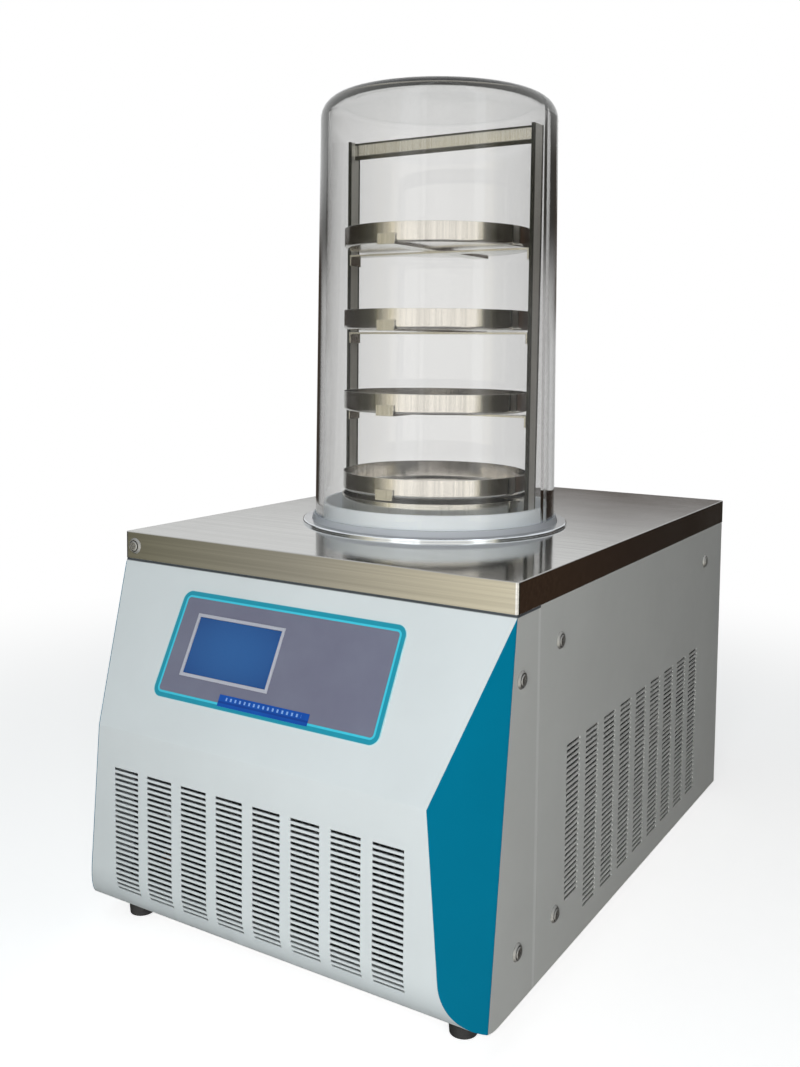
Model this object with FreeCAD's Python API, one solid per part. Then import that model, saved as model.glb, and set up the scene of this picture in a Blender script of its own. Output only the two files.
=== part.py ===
import FreeCAD, Part
import math
import os
from FreeCAD import Vector

# Bench-top freeze dryer with a clear bell over a cold trap.  Millimetres, +Z up, +X to the right of
# someone facing the display, +Y towards the back.  The origin is on the bench, under the middle of the
# overall box.  Every size that can be set by itself is written once below, and all else follows from them.

# ---- housing -------------------------------------------------------------------------------------------
plate_width = 440.0          # stainless top plate, left to right
plate_depth = 594.0          # stainless top plate, front to back
plate_lip = 27.0             # height of its folded edge
plate_sheet = 1.0
plate_corner = 3.0           # outer radius of the folded corners
body_height = 363.0          # underside of the panels to the top of the plate
panel_sheet = 1.2            # fascia, side and back panels
pan_sheet = 1.5              # floor of the housing
pan_flange = 12.0            # upturned edge of the floor
nose_overhang = 75.0         # how far the fascia's nose stands in front of the plate
nose_drop = 171.4            # plate top down to the nose crease
shadow_gap = 2.0             # plate lip to the start of the sloping face
crease_radius = 3.0          # fold at the nose
toe_radius = 54.0            # bend from the vertical lower face into the floor
toe_return = 20.0            # fascia's flat edge that lies on the floor pan
seam_setback = 46.0          # plate front edge to the joint between fascia and side panel
seam_gap = 0.3
nose_inset = 39.4            # cheek chamfer: how much narrower the nose is, each side
cheek_foot_overhang = 40.7   # cheek chamfer: how far its foot stands in front of the plate
cheek_film = 0.6
rear_reach = 36.0            # furthest fitting behind the back of the plate

# ---- louvres -------------------------------------------------------------------------------------------
slot_length = 30.0
slot_height = 2.6
slot_pitch = 5.1             # row to row
front_columns = 8
front_rows = 24
front_column_pitch = 41.4
front_slots_drop = 210.0     # plate top to the first row
side_columns = 9
side_rows = 34
side_short_rows = 29         # the front column stops early, above its screw
side_column_pitch = 45.2
side_slots_setback = 124.0   # plate front edge to the first column's centre
side_slots_drop = 169.0
back_columns = 4
back_rows = 30
back_column_pitch = 41.4
back_slots_drop = 120.0
back_slots_x = -125.0        # centre of the exhaust louvres

# ---- screws and feet -----------------------------------------------------------------------------------
screw_radius = 2.4
screw_head_radius = 5.0
screw_head_height = 2.4
screw_length = 9.0
cup_radius = 8.0             # cup washer under each of the side screws
cup_height = 1.9
cup_floor = 0.6
screw_clearance = 0.2        # in a sheet the screw passes through
thread_clearance = 0.05      # in a sheet the screw grips
fascia_screws = [(11.0, 83.0), (11.0, 315.0)]                # setback from plate front, drop from its top
panel_screws = [(89.0, 67.0), (88.0, 316.0), (522.0, 66.0)]
back_screw_drops = [60.0, 190.0, 320.0]
back_screw_inset = 14.0      # from the edge of the back panel
lip_screw_x = -207.0         # one screw through the plate's front lip
lip_screw_drop = 14.0
foot_radius = 13.5
foot_taper = 1.5             # narrower at the bench
foot_height = 16.5
foot_inset = 35.0            # foot centre in from the side of the housing
front_foot_overhang = 16.0   # foot centre in front of the plate edge
rear_foot_inset = 45.0
foot_screw_radius = 3.0
foot_screw_head = 5.5
foot_recess_radius = 6.5

# ---- frame ---------------------------------------------------------------------------------------------
upright_sheet = 2.0
upright_width = 92.0         # front to back, wide enough to take two rows of screws
upright_top_flange = 12.0
upright_return = 28.0        # rear uprights turn in along the back panel
upright_setback = 5.0        # front uprights, behind the fascia's top edge

# ---- display -------------------------------------------------------------------------------------------
overlay_width = 252.0
overlay_height = 103.0
overlay_thickness = 0.8
overlay_corner = 10.0
overlay_offset = -3.0        # centre, left of the middle
overlay_drop = 21.0          # down the slope from its top edge
bezel_width = 103.0
bezel_height = 59.5
bezel_rim = 3.0
bezel_from_left = 25.5       # overlay's left edge to the bezel's
bezel_from_top = 20.5
bezel_stand = 0.7            # bezel proud of the overlay
lcd_depth = 9.0
lcd_clearance = 0.2
strip_width = 100.0
strip_height = 10.5
strip_thickness = 0.4
strip_from_top = 89.0        # down from the overlay's top edge
board_width = 200.0
board_height = 84.0
board_thickness = 1.6
standoff_length = 14.0
standoff_radius = 3.0
board_hole_inset = 6.0

# ---- bell, seal and trap -------------------------------------------------------------------------------
bell_setback = 245.0         # plate front edge to the bell's axis
bell_clearance = 4.8         # rack posts to the bell's inner face, at the head
bell_taper = 3.7             # radius at the foot over that at the head
bell_wall = 8.0
bell_height = 452.0
bell_shoulder = 23.0
bell_dome_rise = 6.0         # crown above the shoulder
ring_margin = 13.5           # flange ring beyond the bell's foot
ring_height = 3.0
ring_edge_round = 1.2
seal_base = 3.0
seal_lip = 3.4
seal_outer_height = 6.0
seal_inner_height = 20.0
seal_clearance = 0.3
trap_radius = 95.0           # inside
trap_sheet = 1.5
trap_depth = 170.0
trap_bottom_round = 15.0
trap_rim = 11.0              # width of the rim that hangs on the plate
fit_gap = 0.3                # between curved faces of neighbouring pieces
coil_tube_radius = 4.0
coil_half_turns = 11
coil_drop = 78.0             # plate top to the coil's upper end
coil_floor_gap = 15.0        # trap's underside to the coil's lower end
coil_tail = 105.0
insulation_thickness = 35.0
insulation_floor = 28.0

# ---- rack and trays ------------------------------------------------------------------------------------
tray_count = 4
tray_radius = 100.0
tray_height = 20.5
tray_sheet = 1.0
tray_bottom_round = 3.0
tray_pitch = 86.0
rack_ring_gap = 6.0          # stand ring outside the trap's mouth
rack_ring_sheet = 1.5
rack_ring_height = 28.0
strip_sheet = 2.0            # cross strips under each tray
strip_band = 20.0
strip_lip = 9.0
strip_tab = 10.0
post_width = 20.0
post_sheet = 3.0
post_gap = 9.5               # inner face of each post beyond the trays and the stand ring
crossbar_height = 18.0
crossbar_drop = 42.0         # crown of the bell down to the top of the posts

# ---- refrigeration -------------------------------------------------------------------------------------
core_width = 320.0
core_depth = 44.0
core_height = 215.0
core_setback = 0.0           # front face, from the plate's front edge
core_end_plate = 1.5
fin_sheet = 0.6
fin_count = 40
core_tube_radius = 4.75
core_rows = 6
core_row_inset = 18.0
core_tube_stub = 18.0
shroud_depth = 16.0
fan_radius = 86.0
fan_tip_gap = 6.0
fan_hub_radius = 22.0
fan_hub_length = 18.0
fan_blades_count = 5
fan_chord = 38.0
fan_blade_sheet = 1.6
fan_pitch_deg = 30.0
fan_shroud_gap = 3.0
shaft_radius = 4.0
shaft_clearance = 0.05
shaft_length = 44.0
motor_radius = 30.0
motor_length = 38.0
motor_gap = 7.0
bracket_sheet = 2.0
bracket_width = 64.0
bracket_foot = 30.0
compressor_x = -105.0
compressor_setback = 480.0
compressor_radius = 76.0
compressor_can_height = 170.0
compressor_round = 34.0
compressor_foot_sheet = 3.0
compressor_foot_span = 130.0
grommet_radius = 10.0
grommet_height = 12.0
bolt_radius = 3.0
stub_radius = 5.0
stub_offset = 45.0
stub_rise = 14.0
pipe_radius = 3.5
discharge_rise = 35.0        # discharge pipe's run above the coil's lower end
side_pipe_inset = 22.8       # in from the panel's inner face
drier_radius = 11.0
drier_length = 110.0
drier_setback = 90.0
capillary_radius = 1.5
capillary_bend = 10.0
capillary_setback = 372.0
suction_setback = 435.0
suction_bend = 18.0

# ---- vacuum, vent and drain ----------------------------------------------------------------------------
vacuum_drop = 52.0           # plate top to the vacuum pipe's axis
vacuum_bore = 12.5
vacuum_wall = 1.5
port_rim = 7.5               # small-flange joint of nominal bore 25
port_face = 3.0
port_taper = 5.0
port_recess_step = 0.6
port_recess_depth = 3.0
gauge_setback = 480.0
gauge_neck_radius = 8.0
gauge_neck_length = 22.0
gauge_radius = 14.0
gauge_length = 56.0
vent_setback = 520.0
vent_x = 62.0
vent_tube_radius = 4.0
vent_bend = 14.0
vent_body_radius = 8.0
vent_stem_radius = 3.0
knob_radius = 13.0
knob_length = 16.0
drain_rise = 72.0            # floor of the housing to the drain's axis
drain_radius = 7.0
drain_bore = 5.5
drain_bend = 25.0
valve_radius = 11.0
valve_out = 22.0             # valve body behind the back panel
barb_radius = 5.0
barb_bore = 3.2
lever_length = 42.0
lever_width = 9.0
lever_sheet = 3.0
lever_stem_radius = 3.0

# ---- electrical ----------------------------------------------------------------------------------------
inlet_inset = 54.0           # in from the side of the housing
socket_spacing = 70.0
mains_rise = 45.0
inlet_width = 48.0
inlet_height = 28.0
inlet_flange = 2.5
inlet_body_width = 27.0
inlet_body_height = 20.0
inlet_body_depth = 26.0
inlet_cavity_depth = 16.0
inlet_pin_length = 10.0
switch_rise = 95.0
switch_width = 22.0
switch_height = 30.0
switch_rim = 2.0
rocker_width = 17.4
rocker_half = 12.0
rocker_clearance = 1.0
rocker_throw_deg = 20.0
rocker_pin_radius = 1.5
supply_setback = 440.0
supply_width = 80.0
supply_depth = 100.0
supply_height = 50.0
loom_radius = 3.0
loom_bend = 14.0
loom_gap = 0.8               # loom to the front upright

# ---- derived places ------------------------------------------------------------------------------------
overall_depth = nose_overhang + plate_depth + rear_reach
y_front = nose_overhang - overall_depth / 2
y_back = y_front + plate_depth
z_body = foot_height + pan_sheet
z_top = z_body + body_height
z_under = z_top - plate_sheet
half = plate_width / 2 - plate_sheet
half_in = half - panel_sheet
y_panel_back = y_back - plate_sheet
y_inner_back = y_panel_back - panel_sheet
y_seam = y_front + seam_setback
y_nose = y_front - nose_overhang
z_nose = z_top - nose_drop
y_slope = y_front + plate_sheet
z_slope = z_top - plate_lip - shadow_gap
slope_deg = math.degrees(math.atan2(y_slope - y_nose, z_slope - z_nose))
y_bell = y_front + bell_setback
rack_ring_radius = trap_radius + rack_ring_gap
post_radius = max(tray_radius, rack_ring_radius) + post_gap
bell_head_radius = post_radius + post_sheet + bell_clearance + bell_wall
bell_foot_radius = bell_head_radius + bell_taper
ring_radius = bell_foot_radius + ring_margin
z_ring = z_top + ring_height
z_bell = z_ring + seal_base
z_bell_top = z_bell + bell_height
z_rack_strip = z_ring + rack_ring_height
z_tray = z_rack_strip + 2 * strip_sheet
z_trap_floor = z_top + trap_sheet - trap_depth
coil_radius = trap_radius + trap_sheet + fit_gap + coil_tube_radius
cavity_radius = coil_radius + coil_tube_radius + fit_gap
z_coil_top = z_top - coil_drop
z_coil_low = z_trap_floor - trap_sheet + coil_floor_gap
coil_pitch = 2 * (z_coil_top - z_coil_low) / coil_half_turns
y_core = y_front + core_setback
y_core_back = y_core + core_depth
z_core_top = z_body + core_height
y_shroud = y_core_back + shroud_depth
fan_depth = fan_chord * math.sin(math.radians(fan_pitch_deg)) + fan_blade_sheet
y_fan = y_shroud + fan_shroud_gap + fan_depth / 2
z_fan = z_body + core_height / 2 + 4.0
y_motor = y_fan + fan_depth / 2 + motor_gap
y_motor_back = y_motor + motor_length
y_compressor = y_front + compressor_setback
z_compressor = z_body + grommet_height
z_stub = z_compressor + compressor_foot_sheet + compressor_can_height
side_pipe_x = side_pipe_inset - half_in
loom_x = half_in - upright_sheet - loom_radius - loom_gap
vacuum_radius = vacuum_bore + vacuum_wall
port_radius = vacuum_bore + port_rim
port_recess_radius = vacuum_bore + port_recess_step
z_vacuum = z_top - vacuum_drop
y_port = y_back + rear_reach
z_drain = z_body + drain_rise
inlet_x = half - inlet_inset
socket_x = inlet_x - socket_spacing
switch_x = inlet_x
supply_x = inlet_x
z_mains = z_body + mains_rise
z_switch = z_body + switch_rise


# ---- shape helpers -------------------------------------------------------------------------------------
def box(x0, y0, z0, x1, y1, z1):
    return Part.makeBox(x1 - x0, y1 - y0, z1 - z0, Vector(x0, y0, z0))


def rod(start, end, radius):
    start = Vector(*start)
    along = Vector(*end) - start
    return Part.makeCylinder(radius, along.Length, start, along)


def fuse(shapes):
    whole = shapes[0].multiFuse(shapes[1:])
    return whole.removeSplitter()


def cut(shape, tools):
    return shape.cut(Part.makeCompound(tools))


def turned(points, x=0.0, y=0.0):
    """Solid of revolution about the upright line at x, y, from (radius, height) points."""
    corners = [Vector(x + radius, y, z) for radius, z in points]
    wire = Part.makePolygon(corners + corners[:1])
    return Part.Face(wire).revolve(Vector(x, y, 0), Vector(0, 0, 1), 360)


def ring(x, y, z0, z1, outer, inner):
    return turned([(inner, z0), (outer, z0), (outer, z1), (inner, z1)], x, y)


def mirrored(shape):
    return shape.mirror(Vector(0, 0, 0), Vector(1, 0, 0))


def profile_prism(points, x0, x1):
    """Prism along X of a closed outline given as (y, z) points."""
    corners = [Vector(x0, y, z) for y, z in points]
    wire = Part.makePolygon(corners + corners[:1])
    return Part.Face(wire).extrude(Vector(x1 - x0, 0, 0))


def rounded_plate(width, height, thickness, corner):
    """Flat plate on the XY plane, centred, with rounded corners."""
    plate = Part.makeBox(width, height, thickness, Vector(-width / 2, -height / 2, 0))
    upright = [e for e in plate.Edges if abs(e.tangentAt(e.FirstParameter).z) > 0.9]
    return plate.makeFillet(corner, upright)


def bent_tube(points, radius, bend, bore=0.0):
    """Round tube along straight runs joined by tangent arcs of the bend radius."""
    route = [Vector(*p) for p in points]
    pieces = []
    start = route[0]
    for before, corner, after in zip(route, route[1:], route[2:]):
        inward = (corner - before).normalize()
        outward = (after - corner).normalize()
        turn = inward.getAngle(outward)
        setback = bend * math.tan(turn / 2)
        arc_start = corner - inward * setback
        hinge = inward.cross(outward).normalize()
        centre = arc_start + hinge.cross(inward) * bend
        pieces.append(straight_tube(start, arc_start, radius, bore))
        section = tube_section(arc_start, inward, radius, bore)
        pieces.append(section.revolve(centre, hinge, math.degrees(turn)))
        start = corner + outward * setback
    pieces.append(straight_tube(start, route[-1], radius, bore))
    return fuse(pieces)


def tube_section(centre, along, radius, bore):
    wires = [Part.Wire(Part.makeCircle(radius, centre, along))]
    if bore:
        wires.append(Part.Wire(Part.makeCircle(bore, centre, along)))
    return Part.makeFace(wires, "Part::FaceMakerCheese")


def straight_tube(start, end, radius, bore):
    along = end - start
    return tube_section(start, along, radius, bore).extrude(along)


def perforated_sheet(origin, across, up, width, height, thickness, slots, holes):
    """Sheet spanned by two unit vectors, with slots and round holes given as (across, up) centres."""
    normal = across.cross(up)

    def at(u, v):
        return origin + across * u + up * v

    def rectangle(u, v, du, dv):
        corners = [at(u, v), at(u + du, v), at(u + du, v + dv), at(u, v + dv), at(u, v)]
        return Part.makePolygon(corners)

    wires = [rectangle(0, 0, width, height)]
    for u, v in slots:
        wires.append(rectangle(u - slot_length / 2, v - slot_height / 2, slot_length, slot_height))
    for u, v, radius in holes:
        wires.append(Part.Wire(Part.makeCircle(radius, at(u, v), normal)))
    face = Part.makeFace(wires, "Part::FaceMakerCheese")
    return face.extrude(normal * thickness)


def on_slope(shape):
    """Moves a shape drawn on XY, with +Y up the slope from its top edge and +Z outwards, to the fascia."""
    turn = FreeCAD.Rotation(Vector(1, 0, 0), 90 - slope_deg)
    shape.Placement = FreeCAD.Placement(Vector(0, y_slope, z_slope), turn).multiply(shape.Placement)
    return shape


def slope_point(x, down, outwards):
    turn = FreeCAD.Rotation(Vector(1, 0, 0), 90 - slope_deg)
    return Vector(0, y_slope, z_slope) + turn.multVec(Vector(x, -down, outwards))


def pan_head_screw(seat, direction, length=screw_length, radius=screw_radius, head=screw_head_radius):
    """Pan-head screw with a cross recess.  The head sits on seat and the shank runs along direction."""
    seat = Vector(*seat)
    along = Vector(*direction).normalize()
    shank = Part.makeCylinder(radius, length, seat, along)
    cap = Part.makeCylinder(head, screw_head_height, seat, along * -1)
    rim = [e for e in cap.Edges if e.Length > 6 and (e.CenterOfMass - seat).dot(along) < -1]
    cap = cap.makeFillet(screw_head_height * 0.45, rim)
    crown = seat - along * screw_head_height
    turn = FreeCAD.Rotation(Vector(0, 0, 1), along)
    recess = []
    for quarter in (0, 90):
        slot = Part.makeBox(head * 1.1, head * 0.24, 1.0, Vector(-head * 0.55, -head * 0.12, 0))
        slot.rotate(Vector(0, 0, 0), Vector(0, 0, 1), quarter)
        slot.Placement = FreeCAD.Placement(crown, turn).multiply(slot.Placement)
        recess.append(slot)
    return fuse([shank, cut(cap, recess)])


# ---- housing -------------------------------------------------------------------------------------------
def fascia_solid(inset):
    """Closed outer form of the fascia, or the same form inset by a sheet thickness and open at the back."""
    drop = inset * math.tan(math.radians(slope_deg / 2))
    radius = toe_radius - inset
    y_toe = y_nose + toe_radius
    z_toe = z_body + toe_radius
    back = y_seam + (10 if inset else 0)
    top = z_under + (10 if inset else 0)
    corners = [Vector(0, back, top), Vector(0, y_slope + inset, top),
               Vector(0, y_slope + inset, z_slope - drop), Vector(0, y_nose + inset, z_nose - drop),
               Vector(0, y_nose + inset, z_toe)]
    middle = Vector(0, y_toe - radius * math.sqrt(0.5), z_toe - radius * math.sqrt(0.5))
    toe = Part.Arc(corners[-1], middle, Vector(0, y_toe, z_body + inset)).toShape()
    edges = [Part.makeLine(a, b) for a, b in zip(corners, corners[1:])]
    edges += [toe, Part.makeLine(Vector(0, y_toe, z_body + inset), Vector(0, back, z_body + inset)),
              Part.makeLine(Vector(0, back, z_body + inset), corners[0])]
    reach = half - inset
    face = Part.Face(Part.Wire(edges))
    face.translate(Vector(-reach, 0, 0))
    return face.extrude(Vector(2 * reach, 0, 0))


def cheek_slab(inset, thickness):
    """Slab on the right-hand chamfer plane, from inset inside it, thickness outwards."""
    top = Vector(half, y_slope, z_slope)
    nose = Vector(half - nose_inset, y_nose, z_nose)
    foot = Vector(half, y_front - cheek_foot_overhang, z_body)
    normal = (nose - top).cross(foot - top).normalize()
    if normal.x < 0:
        normal = normal * -1
    reach = plate_depth + body_height
    slab = Part.makeBox(reach, reach, thickness, Vector(-reach / 2, -reach / 2, -inset))
    turn = FreeCAD.Rotation(Vector(0, 0, 1), normal)
    slab.Placement = FreeCAD.Placement(nose, turn).multiply(slab.Placement)
    return slab


def chamfered(inset):
    beyond = cheek_slab(inset, plate_width)
    form = cut(fascia_solid(inset), [beyond, mirrored(beyond)])
    crease = [e for e in form.Edges if e.BoundBox.XLength > overlay_width and e.BoundBox.ZLength < 0.1
              and abs(e.BoundBox.ZMin - z_nose) < 2 * panel_sheet]
    return form.makeFillet(crease_radius - inset, crease)


def front_slots():
    """Cutters for the louvres, which follow the lower face down and round the toe."""
    y_toe = y_nose + toe_radius
    z_toe = z_body + toe_radius
    cutters = []
    for row in range(front_rows):
        z = z_top - front_slots_drop - row * slot_pitch
        around = max(0.0, (z_toe - z) / toe_radius)
        z = max(z, z_toe)
        for column in range(front_columns):
            x = (column - (front_columns - 1) / 2) * front_column_pitch
            cutter = Part.makeBox(slot_length, 8.0, slot_height,
                                  Vector(x - slot_length / 2, y_nose - 4.0, z - slot_height / 2))
            cutter.rotate(Vector(0, y_toe, z_toe), Vector(1, 0, 0), math.degrees(around))
            cutters.append(cutter)
    return cutters


def lcd_window():
    """Centre of the display window on the slope: x, and distance down from the slope's top edge."""
    left = overlay_offset - overlay_width / 2 + bezel_from_left
    return left + bezel_width / 2, overlay_drop + bezel_from_top + bezel_height / 2


def slope_box(x, down, width, height, low, high):
    return on_slope(Part.makeBox(width, height, high - low, Vector(x - width / 2, -down - height / 2, low)))


def front_fascia():
    shell = chamfered(0.0).cut(chamfered(panel_sheet))
    y_return = y_nose + toe_radius + toe_return
    open_floor = box(-half_in, y_return, z_body - 1, half_in, y_seam + 1, z_body + panel_sheet + 1)
    x, down = lcd_window()
    window = slope_box(x, down, bezel_width - 2 * bezel_rim, bezel_height - 2 * bezel_rim, -10, 10)
    holes = [rod((-half - 1, y_front + setback, z_top - drop), (half + 1, y_front + setback, z_top - drop),
                 screw_radius + screw_clearance) for setback, drop in fascia_screws]
    holes += [rod((x, y, z_body - 1), (x, y, z_body + 3), foot_screw_radius + screw_clearance)
              for x, y in foot_places() if y < y_front]
    holes.append(lip_screw_hole())
    shell = cut(shell, [open_floor, window] + holes)
    return cut(shell, front_slots())


def lip_screw_hole():
    z = z_top - lip_screw_drop
    return rod((lip_screw_x, y_front - 1, z), (lip_screw_x, y_front + 5, z), screw_radius + screw_clearance)


def cheek_trim():
    """Coloured film on the right-hand chamfer, trimmed flush with the faces around it."""
    below_plate = box(0, y_nose - 1, z_body - 1, plate_width, y_seam, z_slope)
    return fascia_solid(0.0).common(cheek_slab(0.0, cheek_film)).common(below_plate)


def top_plate():
    outer = box(-plate_width / 2, y_front, z_top - plate_lip, plate_width / 2, y_back, z_top)
    corners = [e for e in outer.Edges if abs(e.tangentAt(e.FirstParameter).z) > 0.9]
    outer = outer.makeFillet(plate_corner, corners)
    rim = [e for e in outer.Edges if e.BoundBox.ZMin > z_top - 0.01]
    outer = outer.makeFillet(plate_sheet * 0.9, rim)
    inner = box(-half, y_slope, z_top - plate_lip - 1, half, y_panel_back, z_under)
    mouth = rod((0, y_bell, z_under - 1), (0, y_bell, z_top + 1), trap_radius + trap_sheet + fit_gap)
    return cut(outer, [inner, mouth, lip_screw_hole()])


def side_panel():
    """Right-hand panel: 9 columns of louvres and three screw holes."""
    y0 = y_seam + seam_gap
    slots = []
    for column in range(side_columns):
        rows = side_short_rows if column == 0 else side_rows
        u = y_front + side_slots_setback + column * side_column_pitch - y0
        for row in range(rows):
            slots.append((u, z_top - side_slots_drop - row * slot_pitch - z_body))
    holes = [(y_front + setback - y0, z_top - drop - z_body, screw_radius + screw_clearance)
             for setback, drop in panel_screws]
    return perforated_sheet(Vector(half_in, y0, z_body), Vector(0, 1, 0), Vector(0, 0, 1),
                            y_inner_back - y0, z_under - z_body, panel_sheet, slots, holes)


def back_panel():
    """Exhaust louvres, and cut-outs for every fitting that comes through."""
    slots = []
    for column in range(back_columns):
        x = back_slots_x + (column - (back_columns - 1) / 2) * back_column_pitch
        for row in range(back_rows):
            slots.append((x + half, z_top - back_slots_drop - row * slot_pitch - z_body))
    holes = [(half, z_vacuum - z_body, vacuum_radius + fit_gap),
             (half + vent_x, z_vacuum - z_body, vent_body_radius + fit_gap),
             (half, z_drain - z_body, valve_radius + fit_gap)]
    for x in (back_screw_inset, 2 * half - back_screw_inset):
        for drop in back_screw_drops:
            holes.append((x, z_top - drop - z_body, screw_radius + screw_clearance))
    sheet = perforated_sheet(Vector(-half, y_panel_back, z_body), Vector(1, 0, 0), Vector(0, 0, 1),
                             2 * half, z_under - z_body, panel_sheet, slots, holes)
    openings = [panel_cutout(inlet_x, z_mains, inlet_body_width, inlet_body_height),
                panel_cutout(socket_x, z_mains, inlet_body_width, inlet_body_height),
                panel_cutout(switch_x, z_switch, switch_width - 2, switch_height - 2)]
    return cut(sheet, openings)


def panel_cutout(x, z, width, height):
    reach_x = width / 2 + fit_gap
    reach_z = height / 2 + fit_gap
    return box(x - reach_x, y_inner_back - 1, z - reach_z, x + reach_x, y_panel_back + 1, z + reach_z)


def base_pan():
    """Floor with edges turned up on both sides and the back, and holes for the feet."""
    y0 = y_nose + toe_radius + 1.0
    floor = box(-half_in, y0, foot_height, half_in, y_inner_back, z_body)
    side = box(half_in - pan_sheet, y_slope, foot_height, half_in, y_inner_back, z_body + pan_flange)
    back = box(-half_in, y_inner_back - pan_sheet, foot_height, half_in, y_inner_back, z_body + pan_flange)
    holes = [rod((x, y, foot_height - 1), (x, y, z_body + 1), foot_screw_radius + screw_clearance)
             for x, y in foot_places()]
    return cut(fuse([floor, side, mirrored(side), back]), holes)


def foot_places():
    x = half - foot_inset
    rows = (y_front - front_foot_overhang, y_back - rear_foot_inset)
    return [(side * x, y) for y in rows for side in (-1, 1)]


def upright_front():
    """Right-hand front upright: a wide web that takes the fascia's and the panel's screws."""
    y0 = y_slope + upright_setback
    y1 = y0 + upright_width
    z0 = z_body + pan_flange
    web = box(half_in - upright_sheet, y0, z0, half_in, y1, z_under)
    shelf = box(half_in - upright_top_flange, y0, z_under - upright_sheet, half_in, y1, z_under)
    near = [screw for screw in fascia_screws + panel_screws if screw[0] < y1 - y_front]
    return cut(fuse([web, shelf]), thread_holes(near))


def upright_rear():
    """Right-hand rear upright: an angle that takes the side panel's and the back panel's screws."""
    y0 = y_inner_back - upright_width
    z0 = z_body + pan_flange
    web = box(half_in - upright_sheet, y0, z0, half_in, y_inner_back, z_under)
    shelf = box(half_in - upright_top_flange, y0, z_under - upright_sheet, half_in, y_inner_back, z_under)
    turn = box(half_in - upright_return, y_inner_back - upright_sheet, z0, half_in, y_inner_back, z_under)
    far = [screw for screw in panel_screws if screw[0] > y0 - y_front]
    holes = thread_holes(far)
    for drop in back_screw_drops:
        x = half - back_screw_inset
        holes.append(rod((x, y_inner_back - 5, z_top - drop), (x, y_inner_back + 1, z_top - drop),
                         screw_radius + thread_clearance))
    return cut(fuse([web, shelf, turn]), holes)


def thread_holes(screws):
    holes = []
    for setback, drop in screws:
        inner = (half_in - 5, y_front + setback, z_top - drop)
        outer = (half_in + 1, y_front + setback, z_top - drop)
        holes.append(rod(inner, outer, screw_radius + thread_clearance))
    return holes


def cup_washer(seat, direction):
    """Dished washer whose rim stands round the screw's head."""
    neck = screw_radius + screw_clearance
    throat = screw_head_radius + fit_gap
    cup = turned([(neck, 0), (cup_radius, 0), (cup_radius - 1.6, cup_height), (throat + 0.6, cup_height),
                  (throat, cup_floor), (neck, cup_floor)])
    turn = FreeCAD.Rotation(Vector(0, 0, 1), Vector(*direction) * -1)
    cup.Placement = FreeCAD.Placement(Vector(*seat), turn)
    return cup


def cupped_screw(seat, direction):
    head_seat = Vector(*seat) - Vector(*direction) * cup_floor
    return [pan_head_screw(tuple(head_seat), direction), cup_washer(seat, direction)]


def housing_screws():
    """Screws and cup washers of both sides, and the one in the plate's front lip."""
    right = []
    for setback, drop in fascia_screws + panel_screws:
        right += cupped_screw((half, y_front + setback, z_top - drop), (-1, 0, 0))
    front = cupped_screw((lip_screw_x, y_front, z_top - lip_screw_drop), (0, 1, 0))
    return Part.makeCompound(right + [mirrored(piece) for piece in right] + front)


def back_panel_screws():
    right = [pan_head_screw((half - back_screw_inset, y_panel_back, z_top - drop), (0, -1, 0))
             for drop in back_screw_drops]
    return Part.makeCompound(right + [mirrored(screw) for screw in right])


def rubber_feet():
    """Four turned feet, tapered to the bench, each with a recess for its screw."""
    feet = []
    for x, y in foot_places():
        side = [(foot_radius - foot_taper, 0), (foot_radius, foot_height)]
        foot = turned([(0, 0)] + side + [(0, foot_height)], x, y)
        bore = rod((x, y, -1), (x, y, foot_height + 1), foot_screw_radius + thread_clearance)
        recess = rod((x, y, -1), (x, y, foot_height / 3), foot_recess_radius)
        feet.append(cut(foot, [bore, recess]))
    return Part.makeCompound(feet)


def foot_screws():
    screws = []
    for x, y in foot_places():
        seat = (x, y, foot_height / 3)
        screws.append(pan_head_screw(seat, (0, 0, 1), foot_height, foot_screw_radius, foot_screw_head))
    return Part.makeCompound(screws)


# ---- display -------------------------------------------------------------------------------------------
def display_overlay():
    sheet = rounded_plate(overlay_width, overlay_height, overlay_thickness, overlay_corner)
    sheet.translate(Vector(overlay_offset, -overlay_drop - overlay_height / 2, 0))
    x, down = lcd_window()
    return on_slope(sheet).cut(slope_box(x, down, bezel_width, bezel_height, -1, 2))


def lcd_bezel():
    x, down = lcd_window()
    outer = slope_box(x, down, bezel_width, bezel_height, 0, overlay_thickness + bezel_stand)
    return outer.cut(slope_box(x, down, bezel_width - 2 * bezel_rim, bezel_height - 2 * bezel_rim, -1, 5))


def lcd_module():
    """Glass that fills the window, on a wider body behind the fascia."""
    x, down = lcd_window()
    width = bezel_width - 2 * (bezel_rim + lcd_clearance)
    height = bezel_height - 2 * (bezel_rim + lcd_clearance)
    glass = slope_box(x, down, width, height, -panel_sheet, overlay_thickness)
    body = slope_box(x, down, bezel_width, bezel_height, -panel_sheet - lcd_depth, -panel_sheet)
    return fuse([glass, body])


def label_strip():
    down = overlay_drop + strip_from_top + strip_height / 2
    top = overlay_thickness + strip_thickness
    return slope_box(0, down, strip_width, strip_height, overlay_thickness, top)


def board_hole_places():
    """Board mounting holes on the slope, as x and distance down."""
    down = overlay_drop + overlay_height / 2
    x = board_width / 2 - board_hole_inset
    y = board_height / 2 - board_hole_inset
    return [(sx * x, down + sy * y) for sx in (-1, 1) for sy in (-1, 1)]


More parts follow.
